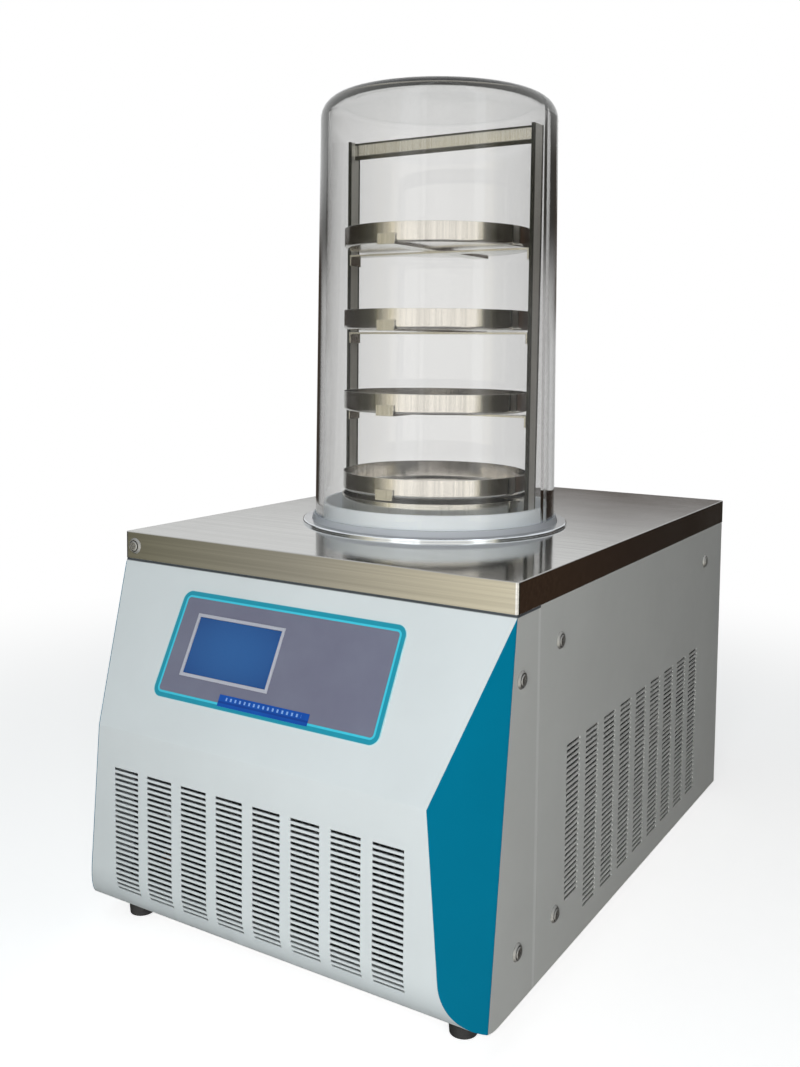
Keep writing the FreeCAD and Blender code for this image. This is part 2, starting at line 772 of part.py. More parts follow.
def control_board():
    """Circuit board behind the display, with its relays, transformer and connectors."""
    down = overlay_drop + overlay_height / 2
    face = -panel_sheet - standoff_length
    pieces = [slope_box(0, down, board_width, board_height, face - board_thickness, face)]
    parts = [(40, -18, 28, 24, 20), (72, -18, 18, 24, 16), (40, 18, 18, 14, 14), (64, 18, 18, 14, 14),
             (-40, -22, 24, 10, 8), (-10, 20, 14, 14, 3)]
    for x, y, width, height, depth in parts:
        low = face - board_thickness
        pieces.append(slope_box(x, down + y, width, height, low - depth, low))
    holes = []
    for x, hole_down in board_hole_places():
        holes.append(rod(slope_point(x, hole_down, face - 10), slope_point(x, hole_down, face + 5), 1.6))
    return cut(fuse(pieces), holes)


def board_standoffs():
    """Threaded pillars between the fascia and the board, each with a pin through the board."""
    pillars = []
    for x, down in board_hole_places():
        low = -panel_sheet - standoff_length
        pillar = rod(slope_point(x, down, -panel_sheet), slope_point(x, down, low), standoff_radius)
        pin = rod(slope_point(x, down, low), slope_point(x, down, low - board_thickness - 2), 1.5)
        pillars.append(fuse([pillar, pin]))
    return Part.makeCompound(pillars)


# ---- bell, seal and trap -------------------------------------------------------------------------------
def bell_outline(inset):
    """Edges of the bell's wall from foot to crown, in the plane y = y_bell, inset by the wall or by 0."""
    centre_r = bell_head_radius - bell_shoulder
    centre_z = z_bell_top - bell_dome_rise - bell_shoulder
    shoulder = bell_shoulder - inset
    # The shoulder arc meets the crown's arc where both have the same normal.
    join = math.pi / 2 - 2 * math.atan(bell_dome_rise / centre_r)
    crown = centre_r / math.cos(join) + shoulder
    crown_z = centre_z - centre_r * math.tan(join)

    def on_arc(r, z, radius, angle):
        return Vector(r + radius * math.cos(angle), y_bell, z + radius * math.sin(angle))

    foot = Vector(bell_foot_radius - inset, y_bell, z_bell)
    spring = on_arc(centre_r, centre_z, shoulder, 0)
    meet = on_arc(centre_r, centre_z, shoulder, join)
    top = on_arc(0, crown_z, crown, math.pi / 2)
    return [Part.makeLine(foot, spring),
            Part.Arc(spring, on_arc(centre_r, centre_z, shoulder, join / 2), meet).toShape(),
            Part.Arc(meet, on_arc(0, crown_z, crown, (join + math.pi / 2) / 2), top).toShape()]


def bell_jar():
    outer = bell_outline(0.0)
    inner = bell_outline(bell_wall)
    foot = Part.makeLine(outer[0].Vertexes[0].Point, inner[0].Vertexes[0].Point)
    crown = Part.makeLine(Vector(0, y_bell, z_bell_top - bell_wall), Vector(0, y_bell, z_bell_top))
    wire = Part.Wire(Part.__sortEdges__(outer + [crown] + inner + [foot]))
    return Part.Face(wire).revolve(Vector(0, y_bell, 0), Vector(0, 0, 1), 360)


def bell_seal():
    """White channel-section seal round the foot of the bell, taller inside."""
    outer = bell_foot_radius + seal_clearance
    inner = bell_foot_radius - bell_wall - seal_clearance
    return turned([(inner - seal_lip, z_ring), (outer + seal_lip, z_ring),
                   (outer + seal_lip * 0.5, z_ring + seal_outer_height), (outer, z_ring + seal_outer_height),
                   (outer, z_bell), (inner, z_bell), (inner, z_ring + seal_inner_height),
                   (inner - seal_lip, z_ring + seal_inner_height)], 0, y_bell)


def flange_ring():
    """Polished ring over the trap's rim."""
    rim = trap_radius + trap_sheet + trap_rim + fit_gap
    return turned([(trap_radius, z_top + trap_sheet), (rim, z_top + trap_sheet), (rim, z_top),
                   (ring_radius, z_top), (ring_radius, z_ring - ring_edge_round),
                   (ring_radius - ring_edge_round * 0.3, z_ring - ring_edge_round * 0.3),
                   (ring_radius - ring_edge_round, z_ring), (trap_radius, z_ring)], 0, y_bell)


def cold_trap():
    """Deep-drawn cup that hangs by its rim on the plate, with its vacuum and drain holes."""
    outer = trap_radius + trap_sheet
    rim = turned([(trap_radius, z_top), (outer + trap_rim, z_top), (outer + trap_rim, z_top + trap_sheet),
                  (trap_radius, z_top + trap_sheet)], 0, y_bell)
    cup = drawn_cup(trap_radius, trap_sheet, z_trap_floor - trap_sheet, z_top, trap_bottom_round)
    port = rod((0, y_bell + trap_radius - 10, z_vacuum), (0, y_bell + outer + 10, z_vacuum),
               vacuum_radius + thread_clearance)
    drain = rod((0, y_bell, z_trap_floor - 10), (0, y_bell, z_trap_floor + 10),
                drain_radius + thread_clearance)
    return cut(fuse([rim, cup]), [port, drain])


def drawn_cup(inside_radius, sheet, z0, z1, rounding):
    """Open cup on the bell's axis, with a rounded bottom edge."""
    outer = Part.makeCylinder(inside_radius + sheet, z1 - z0, Vector(0, y_bell, z0))
    inner = Part.makeCylinder(inside_radius, z1 - z0, Vector(0, y_bell, z0 + sheet))
    outer = outer.makeFillet(rounding + sheet, bottom_edges(outer))
    inner = inner.makeFillet(rounding, bottom_edges(inner))
    return outer.cut(inner)


def bottom_edges(shape):
    lowest = shape.BoundBox.ZMin + 0.01
    return [e for e in shape.Edges if e.BoundBox.ZMax < lowest]


def evaporator_coil():
    """Tube wound round the trap in tilted half turns, with both tails running back through the foam."""
    half_pitch = coil_pitch / 2
    radius = math.hypot(coil_radius, half_pitch / 2)
    side = -1
    z = z_coil_low
    start = Vector(side * coil_radius, y_bell + coil_tail, z)
    corner = Vector(side * coil_radius, y_bell, z)
    pieces = [straight_tube(start, corner, coil_tube_radius, 0.0)]
    for turn in range(coil_half_turns):
        forward = Vector(0, -1 if turn % 2 == 0 else 1, 0)
        here = Vector(side * coil_radius, y_bell, z)
        there = Vector(-side * coil_radius, y_bell, z + half_pitch)
        centre = (here + there) / 2
        hinge = (here - centre).normalize().cross(forward)
        section = tube_section(here, forward, coil_tube_radius, 0.0)
        pieces.append(section.revolve(centre, hinge, 180))
        side = -side
        z += half_pitch
    end = Vector(side * coil_radius, y_bell, z)
    pieces.append(straight_tube(end, end + Vector(0, coil_tail, 0), coil_tube_radius, 0.0))
    return fuse(pieces)


def trap_insulation():
    """Foam jacket with room for the coil, and channels for every pipe that passes through it."""
    outer = cavity_radius + insulation_thickness
    z0 = z_trap_floor - trap_sheet - insulation_floor
    body = rod((0, y_bell, z0), (0, y_bell, z_under), outer)
    cavity = rod((0, y_bell, z_trap_floor - trap_sheet - fit_gap), (0, y_bell, z_under + 1), cavity_radius)
    far = y_bell + outer + 10
    channel = coil_tube_radius + 2 * fit_gap
    pipes = [rod((0, y_bell, z_vacuum), (0, far, z_vacuum), vacuum_radius + fit_gap),
             rod((coil_radius, y_bell, z_coil_top), (coil_radius, far, z_coil_top), channel),
             rod((-coil_radius, y_bell, z_coil_low), (-coil_radius, far, z_coil_low), channel),
             rod((0, y_bell, z0 - 1), (0, y_bell, z_under), drain_radius + fit_gap)]
    return cut(body, [cavity] + pipes)


# ---- rack and trays ------------------------------------------------------------------------------------
def tray_rack():
    """Welded rack: a ring that stands round the trap's mouth, two flat posts, and a cross at each tray."""
    z_posts = z_bell_top - crossbar_drop
    stand = ring(0, y_bell, z_ring, z_rack_strip, rack_ring_radius, rack_ring_radius - rack_ring_sheet)
    post = box(post_radius, y_bell - post_width / 2, z_ring,
               post_radius + post_sheet, y_bell + post_width / 2, z_posts)
    bar = box(-post_radius, y_bell - post_sheet / 2, z_posts - crossbar_height - 1,
              post_radius, y_bell + post_sheet / 2, z_posts - 1)
    pieces = [stand, post, mirrored(post), bar]
    reach = tray_radius + fit_gap + strip_sheet
    for level in range(tray_count):
        z = z_tray + level * tray_pitch
        pieces.append(box(-post_radius, y_bell - strip_band / 2, z - 2 * strip_sheet,
                          post_radius, y_bell + strip_band / 2, z - strip_sheet))
        pieces.append(box(-strip_band / 2, y_bell - reach, z - strip_sheet,
                          strip_band / 2, y_bell + reach, z))
        for side in (-1, 1):
            edge = y_bell + side * reach
            inner = edge - side * strip_sheet
            pieces.append(box(-strip_band / 2, min(edge, inner), z,
                              strip_band / 2, max(edge, inner), z + strip_lip))
        tab = box(post_radius - strip_sheet, y_bell - post_width / 2, z - 2 * strip_sheet - strip_tab,
                  post_radius, y_bell + post_width / 2, z - 2 * strip_sheet)
        pieces += [tab, mirrored(tab)]
    return fuse(pieces)


def tray(level):
    z = z_tray + level * tray_pitch
    return drawn_cup(tray_radius - tray_sheet, tray_sheet, z, z + tray_height, tray_bottom_round)


# ---- refrigeration -------------------------------------------------------------------------------------
def core_row_heights():
    step = (core_height - 2 * core_row_inset) / (core_rows - 1)
    return [z_core_top - core_row_inset - row * step for row in range(core_rows)]


def condenser_core():
    """Finned serpentine: two end plates, a pack of fins and one tube that runs through them all."""
    reach = core_width / 2
    y_tube = y_core + core_depth / 2
    plates = [box(-reach, y_core, z_body, -reach + core_end_plate, y_core_back, z_core_top),
              box(reach - core_end_plate, y_core, z_body, reach, y_core_back, z_core_top)]
    step = (core_width - 2 * core_end_plate) / (fin_count + 1)
    for fin in range(fin_count):
        x = -reach + core_end_plate + (fin + 1) * step
        plates.append(box(x - fin_sheet / 2, y_core, z_body + 6, x + fin_sheet / 2, y_core_back, z_core_top))
    heights = core_row_heights()
    tubes = []
    out = reach + core_tube_radius + 2
    for row, z in enumerate(heights):
        left = -reach - core_tube_stub if row in (0, core_rows - 1) else -out
        tubes.append(rod((left, y_tube, z), (out, y_tube, z), core_tube_radius))
    for row, (z, below) in enumerate(zip(heights, heights[1:])):
        side = 1 if row % 2 == 0 else -1
        section = tube_section(Vector(side * out, y_tube, z), Vector(1, 0, 0), core_tube_radius, 0.0)
        tubes.append(section.revolve(Vector(side * out, y_tube, (z + below) / 2), Vector(0, side, 0), 180))
    return fuse(plates + tubes)


def fan_shroud():
    """Folded duct behind the condenser, with the fan's opening in its back."""
    reach = core_width / 2
    y0 = y_core_back
    outer = box(-reach, y0, z_body, reach, y_shroud, z_core_top)
    inner = box(-reach + panel_sheet, y0 - 1, z_body + panel_sheet,
                reach - panel_sheet, y_shroud - panel_sheet, z_core_top - panel_sheet)
    mouth = rod((0, y_shroud - 5, z_fan), (0, y_shroud + 5, z_fan), fan_radius + fan_tip_gap)
    return cut(outer, [inner, mouth])


def fan_blades():
    """Hub with pitched blades, bored for the shaft."""
    hub = rod((0, y_fan - fan_hub_length / 2, z_fan), (0, y_fan + fan_hub_length / 2, z_fan), fan_hub_radius)
    pieces = [hub]
    for blade in range(fan_blades_count):
        plate = box(-fan_chord / 2, -fan_blade_sheet / 2, fan_hub_radius - 3, fan_chord / 2,
                    fan_blade_sheet / 2, fan_radius)
        tips = [e for e in plate.Edges if abs(e.tangentAt(e.FirstParameter).y) > 0.9
                and e.BoundBox.ZMin > fan_radius - 1]
        plate = plate.makeFillet(fan_chord * 0.3, tips)
        plate.rotate(Vector(0, 0, 0), Vector(0, 0, 1), fan_pitch_deg)
        plate.rotate(Vector(0, 0, 0), Vector(0, 1, 0), blade * 360 / fan_blades_count)
        plate.translate(Vector(0, y_fan, z_fan))
        pieces.append(plate)
    bore = rod((0, y_fan - 30, z_fan), (0, y_fan + 30, z_fan), shaft_radius + thread_clearance / 2)
    return fuse(pieces).cut(bore)


def fan_shaft():
    y0 = y_fan - fan_hub_length / 2
    return rod((0, y0, z_fan), (0, y0 + shaft_length, z_fan), shaft_radius)


def fan_motor():
    can = rod((0, y_motor, z_fan), (0, y_motor_back, z_fan), motor_radius)
    rims = [e for e in can.Edges if e.Length > 3 * motor_radius and e.BoundBox.YLength < 0.1]
    can = can.makeFillet(2.0, rims)
    y_bore = y_fan - fan_hub_length / 2 + shaft_length + 1.0
    return can.cut(rod((0, y_motor - 1, z_fan), (0, y_bore, z_fan), shaft_radius + shaft_clearance))


def fan_bracket():
    """Upright plate behind the motor, with a foot on the floor."""
    reach = bracket_width / 2
    web = box(-reach, y_motor_back, z_body, reach, y_motor_back + bracket_sheet, z_fan + motor_radius)
    foot = box(-reach, y_motor_back, z_body, reach, y_motor_back + bracket_foot, z_body + bracket_sheet)
    return fuse([web, foot])


def compressor_feet_places():
    reach = compressor_foot_span / 2
    return [(compressor_x + sx * reach, y_compressor + sy * reach) for sx in (-1, 1) for sy in (-1, 1)]


def compressor():
    """Hermetic can on a foot plate, with its terminal box and two pipe stubs: sealed, so one solid."""
    z0 = z_compressor + compressor_foot_sheet
    can = Part.makeCylinder(compressor_radius, compressor_can_height, Vector(compressor_x, y_compressor, z0))
    rims = [e for e in can.Edges if e.Length > 3 * compressor_radius]
    can = can.makeFillet(compressor_round, rims)
    seam = Part.makeCylinder(compressor_radius + 2.5, 6.0,
                             Vector(compressor_x, y_compressor, z0 + compressor_can_height * 0.55))
    reach = compressor_foot_span / 2 + 12
    foot = box(compressor_x - reach, y_compressor - reach, z_compressor,
               compressor_x + reach, y_compressor + reach, z0 + 8)
    hollow = box(compressor_x - reach - 1, y_compressor - reach - 1, z0,
                 compressor_x + reach + 1, y_compressor + reach + 1, z0 + 9)
    core = rod((compressor_x, y_compressor, z0 - 1), (compressor_x, y_compressor, z0 + 10),
               compressor_radius * 0.7)
    foot = foot.cut(hollow.cut(core))
    terminals = box(compressor_x + compressor_radius - 8, y_compressor - 22, z0 + 40,
                    compressor_x + compressor_radius + 16, y_compressor + 22, z0 + 95)
    stubs = [rod((x, y, z_stub - 40), (x, y, z_stub + stub_rise), stub_radius) for x, y in stub_places()]
    bores = [rod((x, y, z_compressor - 1), (x, y, z0 + 1), bolt_radius + screw_clearance)
             for x, y in compressor_feet_places()]
    return cut(fuse([can, seam, foot, terminals] + stubs), bores)


def stub_places():
    """Discharge and suction stubs on the compressor's front shoulder."""
    y = y_compressor - stub_offset
    return [(compressor_x - stub_offset, y), (compressor_x + stub_offset, y)]


def compressor_grommets():
    grommets = [ring(x, y, z_body, z_compressor, grommet_radius, bolt_radius + screw_clearance)
                for x, y in compressor_feet_places()]
    return Part.makeCompound(grommets)


def compressor_bolts():
    bolts = []
    for x, y in compressor_feet_places():
        z = z_compressor + compressor_foot_sheet
        shank = rod((x, y, z_body), (x, y, z), bolt_radius)
        head = hex_prism(x, y, z, z + 4.5, 5.5)
        bolts.append(fuse([shank, head]))
    return Part.makeCompound(bolts)


def hex_prism(x, y, z0, z1, across_flats_half):
    radius = across_flats_half / math.cos(math.pi / 6)
    corners = [Vector(x + radius * math.cos(i * math.pi / 3), y + radius * math.sin(i * math.pi / 3), z0)
               for i in range(7)]
    return Part.Face(Part.makePolygon(corners)).extrude(Vector(0, 0, z1 - z0))


def core_outlets():
    """Ends of the condenser's tube, top and bottom, both on the left."""
    x = -core_width / 2 - core_tube_stub
    y = y_core + core_depth / 2
    heights = core_row_heights()
    return (x, y, heights[0]), (x, y, heights[-1])


def discharge_pipe():
    inlet, _ = core_outlets()
    (x, y), _ = stub_places()
    z = z_coil_low + discharge_rise
    return bent_tube([(x, y, z_stub + stub_rise), (x, y, z), (side_pipe_x, y, z), (side_pipe_x, inlet[1], z),
                      (side_pipe_x, inlet[1], inlet[2]), inlet], pipe_radius, 8.0)


def drier_ends():
    _, outlet = core_outlets()
    y0 = y_front + drier_setback
    return (side_pipe_x, y0, outlet[2]), (side_pipe_x, y0 + drier_length, outlet[2])


def liquid_pipe():
    _, outlet = core_outlets()
    start, _ = drier_ends()
    return bent_tube([outlet, (side_pipe_x, outlet[1], outlet[2]), start], pipe_radius, 8.0)


def filter_drier():
    start, end = drier_ends()
    can = rod(start, end, drier_radius)
    rims = [e for e in can.Edges if e.Length > 3 * drier_radius and e.BoundBox.YLength < 0.1]
    return can.makeFillet(6.0, rims)


def capillary_tube():
    _, start = drier_ends()
    y = y_front + capillary_setback
    x_tail = -coil_radius
    route = [start, (side_pipe_x, y, start[2]), (side_pipe_x, y, z_coil_low), (x_tail, y, z_coil_low),
             (x_tail, y_bell + coil_tail, z_coil_low)]
    return bent_tube(route, capillary_radius, capillary_bend)


def suction_pipe():
    _, (x, y) = stub_places()
    y_turn = y_front + suction_setback
    route = [(coil_radius, y_bell + coil_tail, z_coil_top), (coil_radius, y_turn, z_coil_top),
             (x, y_turn, z_coil_top), (x, y_turn, z_stub + stub_rise)]
    return bent_tube(route, coil_tube_radius, suction_bend)


# ---- vacuum, vent and drain ----------------------------------------------------------------------------
def vacuum_pipe():
    """Pipe from the trap to a small-flange port behind the housing, with stubs for gauge and vent."""
    y0 = y_bell + trap_radius - 1.5
    y_gauge = y_front + gauge_setback
    y_vent = y_front + vent_setback
    tube = rod((0, y0, z_vacuum), (0, y_port, z_vacuum), vacuum_radius)
    neck = rod((0, y_gauge, z_vacuum), (0, y_gauge, z_vacuum - gauge_neck_length), gauge_neck_radius)
    branch = rod((0, y_vent, z_vacuum), (vacuum_radius + 8, y_vent, z_vacuum), vent_tube_radius + 2)
    face = rod((0, y_port - port_face, z_vacuum), (0, y_port, z_vacuum), port_radius)
    taper = Part.makeCone(vacuum_radius + 1, port_radius, port_taper,
                          Vector(0, y_port - port_face - port_taper, z_vacuum), Vector(0, 1, 0))
    bore = rod((0, y0 - 1, z_vacuum), (0, y_port + 1, z_vacuum), vacuum_bore)
    recess = rod((0, y_port - port_recess_depth, z_vacuum), (0, y_port + 1, z_vacuum), port_recess_radius)
    neck_bore = rod((0, y_gauge, z_vacuum), (0, y_gauge, z_vacuum - 50), gauge_neck_radius - 2)
    branch_bore = rod((0, y_vent, z_vacuum), (60, y_vent, z_vacuum), vent_tube_radius - 1)
    return cut(fuse([tube, neck, branch, face, taper]), [bore, recess, neck_bore, branch_bore])


def vacuum_gauge():
    y = y_front + gauge_setback
    z = z_vacuum - gauge_neck_length
    can = rod((0, y, z), (0, y, z - gauge_length), gauge_radius)
    plug = rod((0, y, z - gauge_length), (0, y, z - gauge_length - 8), gauge_radius * 0.6)
    return fuse([can, plug])


def vent_valve():
    """Air inlet: a brass body in the back panel, fed by a tube from the vacuum pipe's branch."""
    y_vent = y_front + vent_setback
    start = (vacuum_radius + 8, y_vent, z_vacuum)
    tube = bent_tube([start, (vent_x, y_vent, z_vacuum), (vent_x, y_inner_back - 14, z_vacuum)],
                     vent_tube_radius, vent_bend, vent_tube_radius - 1)
    body = rod((vent_x, y_inner_back - 14, z_vacuum), (vent_x, y_back + 8, z_vacuum), vent_body_radius)
    nut = hex_prism(0, 0, 0, 5, vent_body_radius + 3)
    nut.Placement = FreeCAD.Placement(Vector(vent_x, y_panel_back, z_vacuum),
                                      FreeCAD.Rotation(Vector(0, 0, 1), Vector(0, 1, 0)))
    stem_bore = rod((vent_x, y_back - 8, z_vacuum), (vent_x, y_back + 9, z_vacuum),
                    vent_stem_radius + shaft_clearance)
    return fuse([tube, body, nut]).cut(stem_bore)


def vent_knob():
    """Fluted knob on its stem."""
    y0 = y_back + 10
    knob = rod((vent_x, y0, z_vacuum), (vent_x, y0 + knob_length, z_vacuum), knob_radius)
    flutes = []
    for i in range(12):
        angle = math.radians(i * 30)
        x = vent_x + (knob_radius + 1.2) * math.cos(angle)
        z = z_vacuum + (knob_radius + 1.2) * math.sin(angle)
        flutes.append(rod((x, y0 - 1, z), (x, y0 + knob_length + 1, z), 2.2))
    stem = rod((vent_x, y_back - 6, z_vacuum), (vent_x, y0 + 1, z_vacuum), vent_stem_radius)
    return fuse([cut(knob, flutes), stem])


def drain_pipe():
    return bent_tube([(0, y_bell, z_trap_floor), (0, y_bell, z_drain), (0, y_inner_back - 20, z_drain)],
                     drain_radius, drain_bend, drain_bore)


def drain_valve():
    """Ball valve through the back panel, with a hose barb and a blind seat for the lever's stem."""
    y0 = y_inner_back - 20
    y1 = y_back + valve_out
    body = rod((0, y0, z_drain), (0, y1, z_drain), valve_radius)
    nut = hex_prism(0, 0, 0, 5, valve_radius + 3)
    nut.Placement = FreeCAD.Placement(Vector(0, y_panel_back, z_drain),
                                      FreeCAD.Rotation(Vector(0, 0, 1), Vector(0, 1, 0)))
    barb = rod((0, y1, z_drain), (0, y_port - 1, z_drain), barb_radius - 1)
    ridges = []
    for y_ridge in (y1 + 2, y1 + 6.5):
        start = Vector(0, y_ridge, z_drain)
        ridges.append(Part.makeCone(barb_radius, barb_radius - 1, 4, start, Vector(0, 1, 0)))
    boss = rod((0, y_back + 14, z_drain), (0, y_back + 14, z_drain + valve_radius + 3), lever_stem_radius + 3)
    bore = rod((0, y0 - 1, z_drain), (0, y1 - 4, z_drain), drain_bore)
    barb_hole = rod((0, y1 - 6, z_drain), (0, y_port, z_drain), barb_bore)
    seat = rod((0, y_back + 14, z_drain + valve_radius - 4), (0, y_back + 14, z_drain + valve_radius + 5),
               lever_stem_radius + shaft_clearance)
    return cut(fuse([body, nut, barb, boss] + ridges), [bore, barb_hole, seat])


def drain_lever():
    """Quarter-turn lever, shut when it lies across the pipe."""
    y = y_back + 14
    z = z_drain + valve_radius + 3.5
    stem = rod((0, y, z_drain + valve_radius - 3.5), (0, y, z + 1), lever_stem_radius)
    hub = rod((0, y, z), (0, y, z + lever_sheet), lever_width / 2 + 2)
    arm = box(0, y - lever_width / 2, z, lever_length, y + lever_width / 2, z + lever_sheet)
    tip = rod((lever_length, y, z), (lever_length, y, z + lever_sheet), lever_width / 2)
    return fuse([stem, hub, arm, tip])


# ---- electrical ----------------------------------------------------------------------------------------
def mains_body(x):
    """Flange outside the back panel and body behind it, shared by the inlet and the pump socket."""
    flange = box(x - inlet_width / 2, y_panel_back, z_mains - inlet_height / 2,
                 x + inlet_width / 2, y_panel_back + inlet_flange, z_mains + inlet_height / 2)
    edges = [e for e in flange.Edges if abs(e.tangentAt(e.FirstParameter).y) > 0.9]
    flange = flange.makeFillet(5.0, edges)
    body = box(x - inlet_body_width / 2, y_panel_back - inlet_body_depth, z_mains - inlet_body_height / 2,
               x + inlet_body_width / 2, y_panel_back + 1, z_mains + inlet_body_height / 2)
    return fuse([flange, body])


def power_inlet():
    """Three-pin mains inlet: a recess with its blades."""
    y1 = y_panel_back + inlet_flange
    y0 = y1 - inlet_cavity_depth
    wall = 1.5
    cavity = box(inlet_x - inlet_body_width / 2 + wall, y0, z_mains - inlet_body_height / 2 + wall,
                 inlet_x + inlet_body_width / 2 - wall, y1 + 1, z_mains + inlet_body_height / 2 - wall)
    blades = []
    for dx, dz in ((-7, -2), (0, 2), (7, -2)):
        blades.append(box(inlet_x + dx - 1, y0 - 1, z_mains + dz - 2,
                          inlet_x + dx + 1, y0 + inlet_pin_length, z_mains + dz + 2))
    return fuse([mains_body(inlet_x).cut(cavity)] + blades)


def pump_socket():
    """Outlet that powers the vacuum pump: three blade slots in a plain face."""
    y1 = y_panel_back + inlet_flange
    slots = []
    for dx, dz in ((-7, 2), (0, -2), (7, 2)):
        slots.append(box(socket_x + dx - 1.3, y1 - 14, z_mains + dz - 2.6,
                         socket_x + dx + 1.3, y1 + 1, z_mains + dz + 2.6))
    return cut(mains_body(socket_x), slots)


def rocker_cavity():
    reach_x = rocker_width / 2 + fit_gap
    reach_z = rocker_half + rocker_clearance
    return box(switch_x - reach_x, y_panel_back - 7, z_switch - reach_z,
               switch_x + reach_x, y_panel_back + 10, z_switch + reach_z)


def switch_housing():
    rim = box(switch_x - switch_width / 2, y_panel_back, z_switch - switch_height / 2,
              switch_x + switch_width / 2, y_panel_back + switch_rim, z_switch + switch_height / 2)
    body = box(switch_x - switch_width / 2 + 1, y_panel_back - 22, z_switch - switch_height / 2 + 1,
               switch_x + switch_width / 2 - 1, y_panel_back + 1, z_switch + switch_height / 2 - 1)
    reach = rocker_width / 2 + fit_gap + 1.0
    seats = rod((switch_x - reach, y_panel_back, z_switch), (switch_x + reach, y_panel_back, z_switch),
                rocker_pin_radius + shaft_clearance)
    return cut(fuse([rim, body]), [rocker_cavity(), seats])


def switch_rocker():
    """Rocker at its off stop, on two moulded pins."""
    outline = [(-3.0, -rocker_half), (4.0, -rocker_half), (2.6, 0), (4.0, rocker_half), (-3.0, rocker_half)]
    points = [(y_panel_back + y, z_switch + z) for y, z in outline]
    body = profile_prism(points, switch_x - rocker_width / 2, switch_x + rocker_width / 2)
    reach = rocker_width / 2 + 1.0
    pins = rod((switch_x - reach, y_panel_back, z_switch), (switch_x + reach, y_panel_back, z_switch),
               rocker_pin_radius)
    whole = fuse([body, pins])
    whole.rotate(Vector(switch_x, y_panel_back, z_switch), Vector(1, 0, 0), rocker_throw_deg / 2)
    return whole


def power_supply():
    """Vented box on the floor behind the mains inlet."""
    y0 = y_front + supply_setback
    return box(supply_x - supply_width / 2, y0, z_body, supply_x + supply_width / 2, y0 + supply_depth,
               z_body + supply_height)


def wiring_loom():
    """Sleeved wires from the board, along the right-hand side, down to the power supply."""
    down = overlay_drop + overlay_height / 2
    x_start = board_width / 2 - 12
    low = -panel_sheet - standoff_length - board_thickness
    start = slope_point(x_start, down, low)
    knee = slope_point(x_start, down, low - loom_bend)
    y_turn = knee.y + 2.5 * loom_bend
    y_end = y_front + supply_setback + supply_depth / 2
    route = [tuple(start), tuple(knee), (x_start, y_turn, knee.z), (loom_x, y_turn, knee.z),
             (loom_x, y_end, knee.z), (supply_x, y_end, knee.z), (supply_x, y_end, z_body + supply_height)]
    return bent_tube(route, loom_radius, loom_bend)


# ---- output --------------------------------------------------------------------------------------------
def all_nodes():
    nodes = {
        "top_plate": top_plate(), "front_fascia": front_fascia(), "back_panel": back_panel(),
        "base_pan": base_pan(), "rubber_feet": rubber_feet(), "foot_screws": foot_screws(),
        "housing_screws": housing_screws(), "back_panel_screws": back_panel_screws(),
        "display_overlay": display_overlay(), "lcd_bezel": lcd_bezel(), "lcd_module": lcd_module(),
        "label_strip": label_strip(), "control_board": control_board(), "board_standoffs": board_standoffs(),
        "bell_jar": bell_jar(), "bell_seal": bell_seal(), "flange_ring": flange_ring(),
        "cold_trap": cold_trap(), "evaporator_coil": evaporator_coil(), "trap_insulation": trap_insulation(),
        "tray_rack": tray_rack(), "condenser_core": condenser_core(), "fan_shroud": fan_shroud(),
        "fan_blades": fan_blades(), "fan_shaft": fan_shaft(), "fan_motor": fan_motor(),
        "fan_bracket": fan_bracket(), "compressor": compressor(),
        "compressor_grommets": compressor_grommets(), "compressor_bolts": compressor_bolts(),
        "discharge_pipe": discharge_pipe(),
        "liquid_pipe": liquid_pipe(), "filter_drier": filter_drier(), "capillary_tube": capillary_tube(),
        "suction_pipe": suction_pipe(), "vacuum_pipe": vacuum_pipe(), "vacuum_gauge": vacuum_gauge(),
        "vent_valve": vent_valve(), "vent_knob": vent_knob(), "drain_pipe": drain_pipe(),
        "drain_valve": drain_valve(), "drain_lever": drain_lever(), "power_inlet": power_inlet(),
        "pump_socket": pump_socket(), "switch_housing": switch_housing(), "switch_rocker": switch_rocker(),
        "power_supply": power_supply(), "wiring_loom": wiring_loom(),
    }
    paired = {"cheek_trim": cheek_trim(), "side_panel": side_panel(), "upright_front": upright_front(),
              "upright_rear": upright_rear()}
    for name, shape in paired.items():
        nodes[name + "_right"] = shape
        nodes[name + "_left"] = mirrored(shape)
    for level in range(tray_count):
        nodes["tray_%d" % (level + 1)] = tray(level)
    return nodes


os.makedirs("parts", exist_ok=True)
for name, shape in all_nodes().items():
    bad = [solid for solid in shape.Solids if not solid.isValid() or solid.Volume <= 0]
    state = "  BAD" if bad else ""
    print("%-22s solids %2d volume %10.0f%s" % (name, len(shape.Solids), shape.Volume, state))
    shape.exportStep("parts/" + name + ".step")
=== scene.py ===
import bpy
import bmesh
from mathutils import Matrix, Vector


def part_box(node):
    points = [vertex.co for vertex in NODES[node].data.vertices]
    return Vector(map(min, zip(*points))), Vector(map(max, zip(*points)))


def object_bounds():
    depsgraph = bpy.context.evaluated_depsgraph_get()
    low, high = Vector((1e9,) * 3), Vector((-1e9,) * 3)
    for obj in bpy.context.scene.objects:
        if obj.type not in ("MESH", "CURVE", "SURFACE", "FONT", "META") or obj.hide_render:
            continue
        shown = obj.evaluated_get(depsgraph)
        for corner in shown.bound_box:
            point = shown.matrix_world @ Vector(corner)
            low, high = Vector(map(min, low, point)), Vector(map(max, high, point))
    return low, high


# Looks of the freeze dryer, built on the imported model.  Metres, +Z up, the display faces -Y.

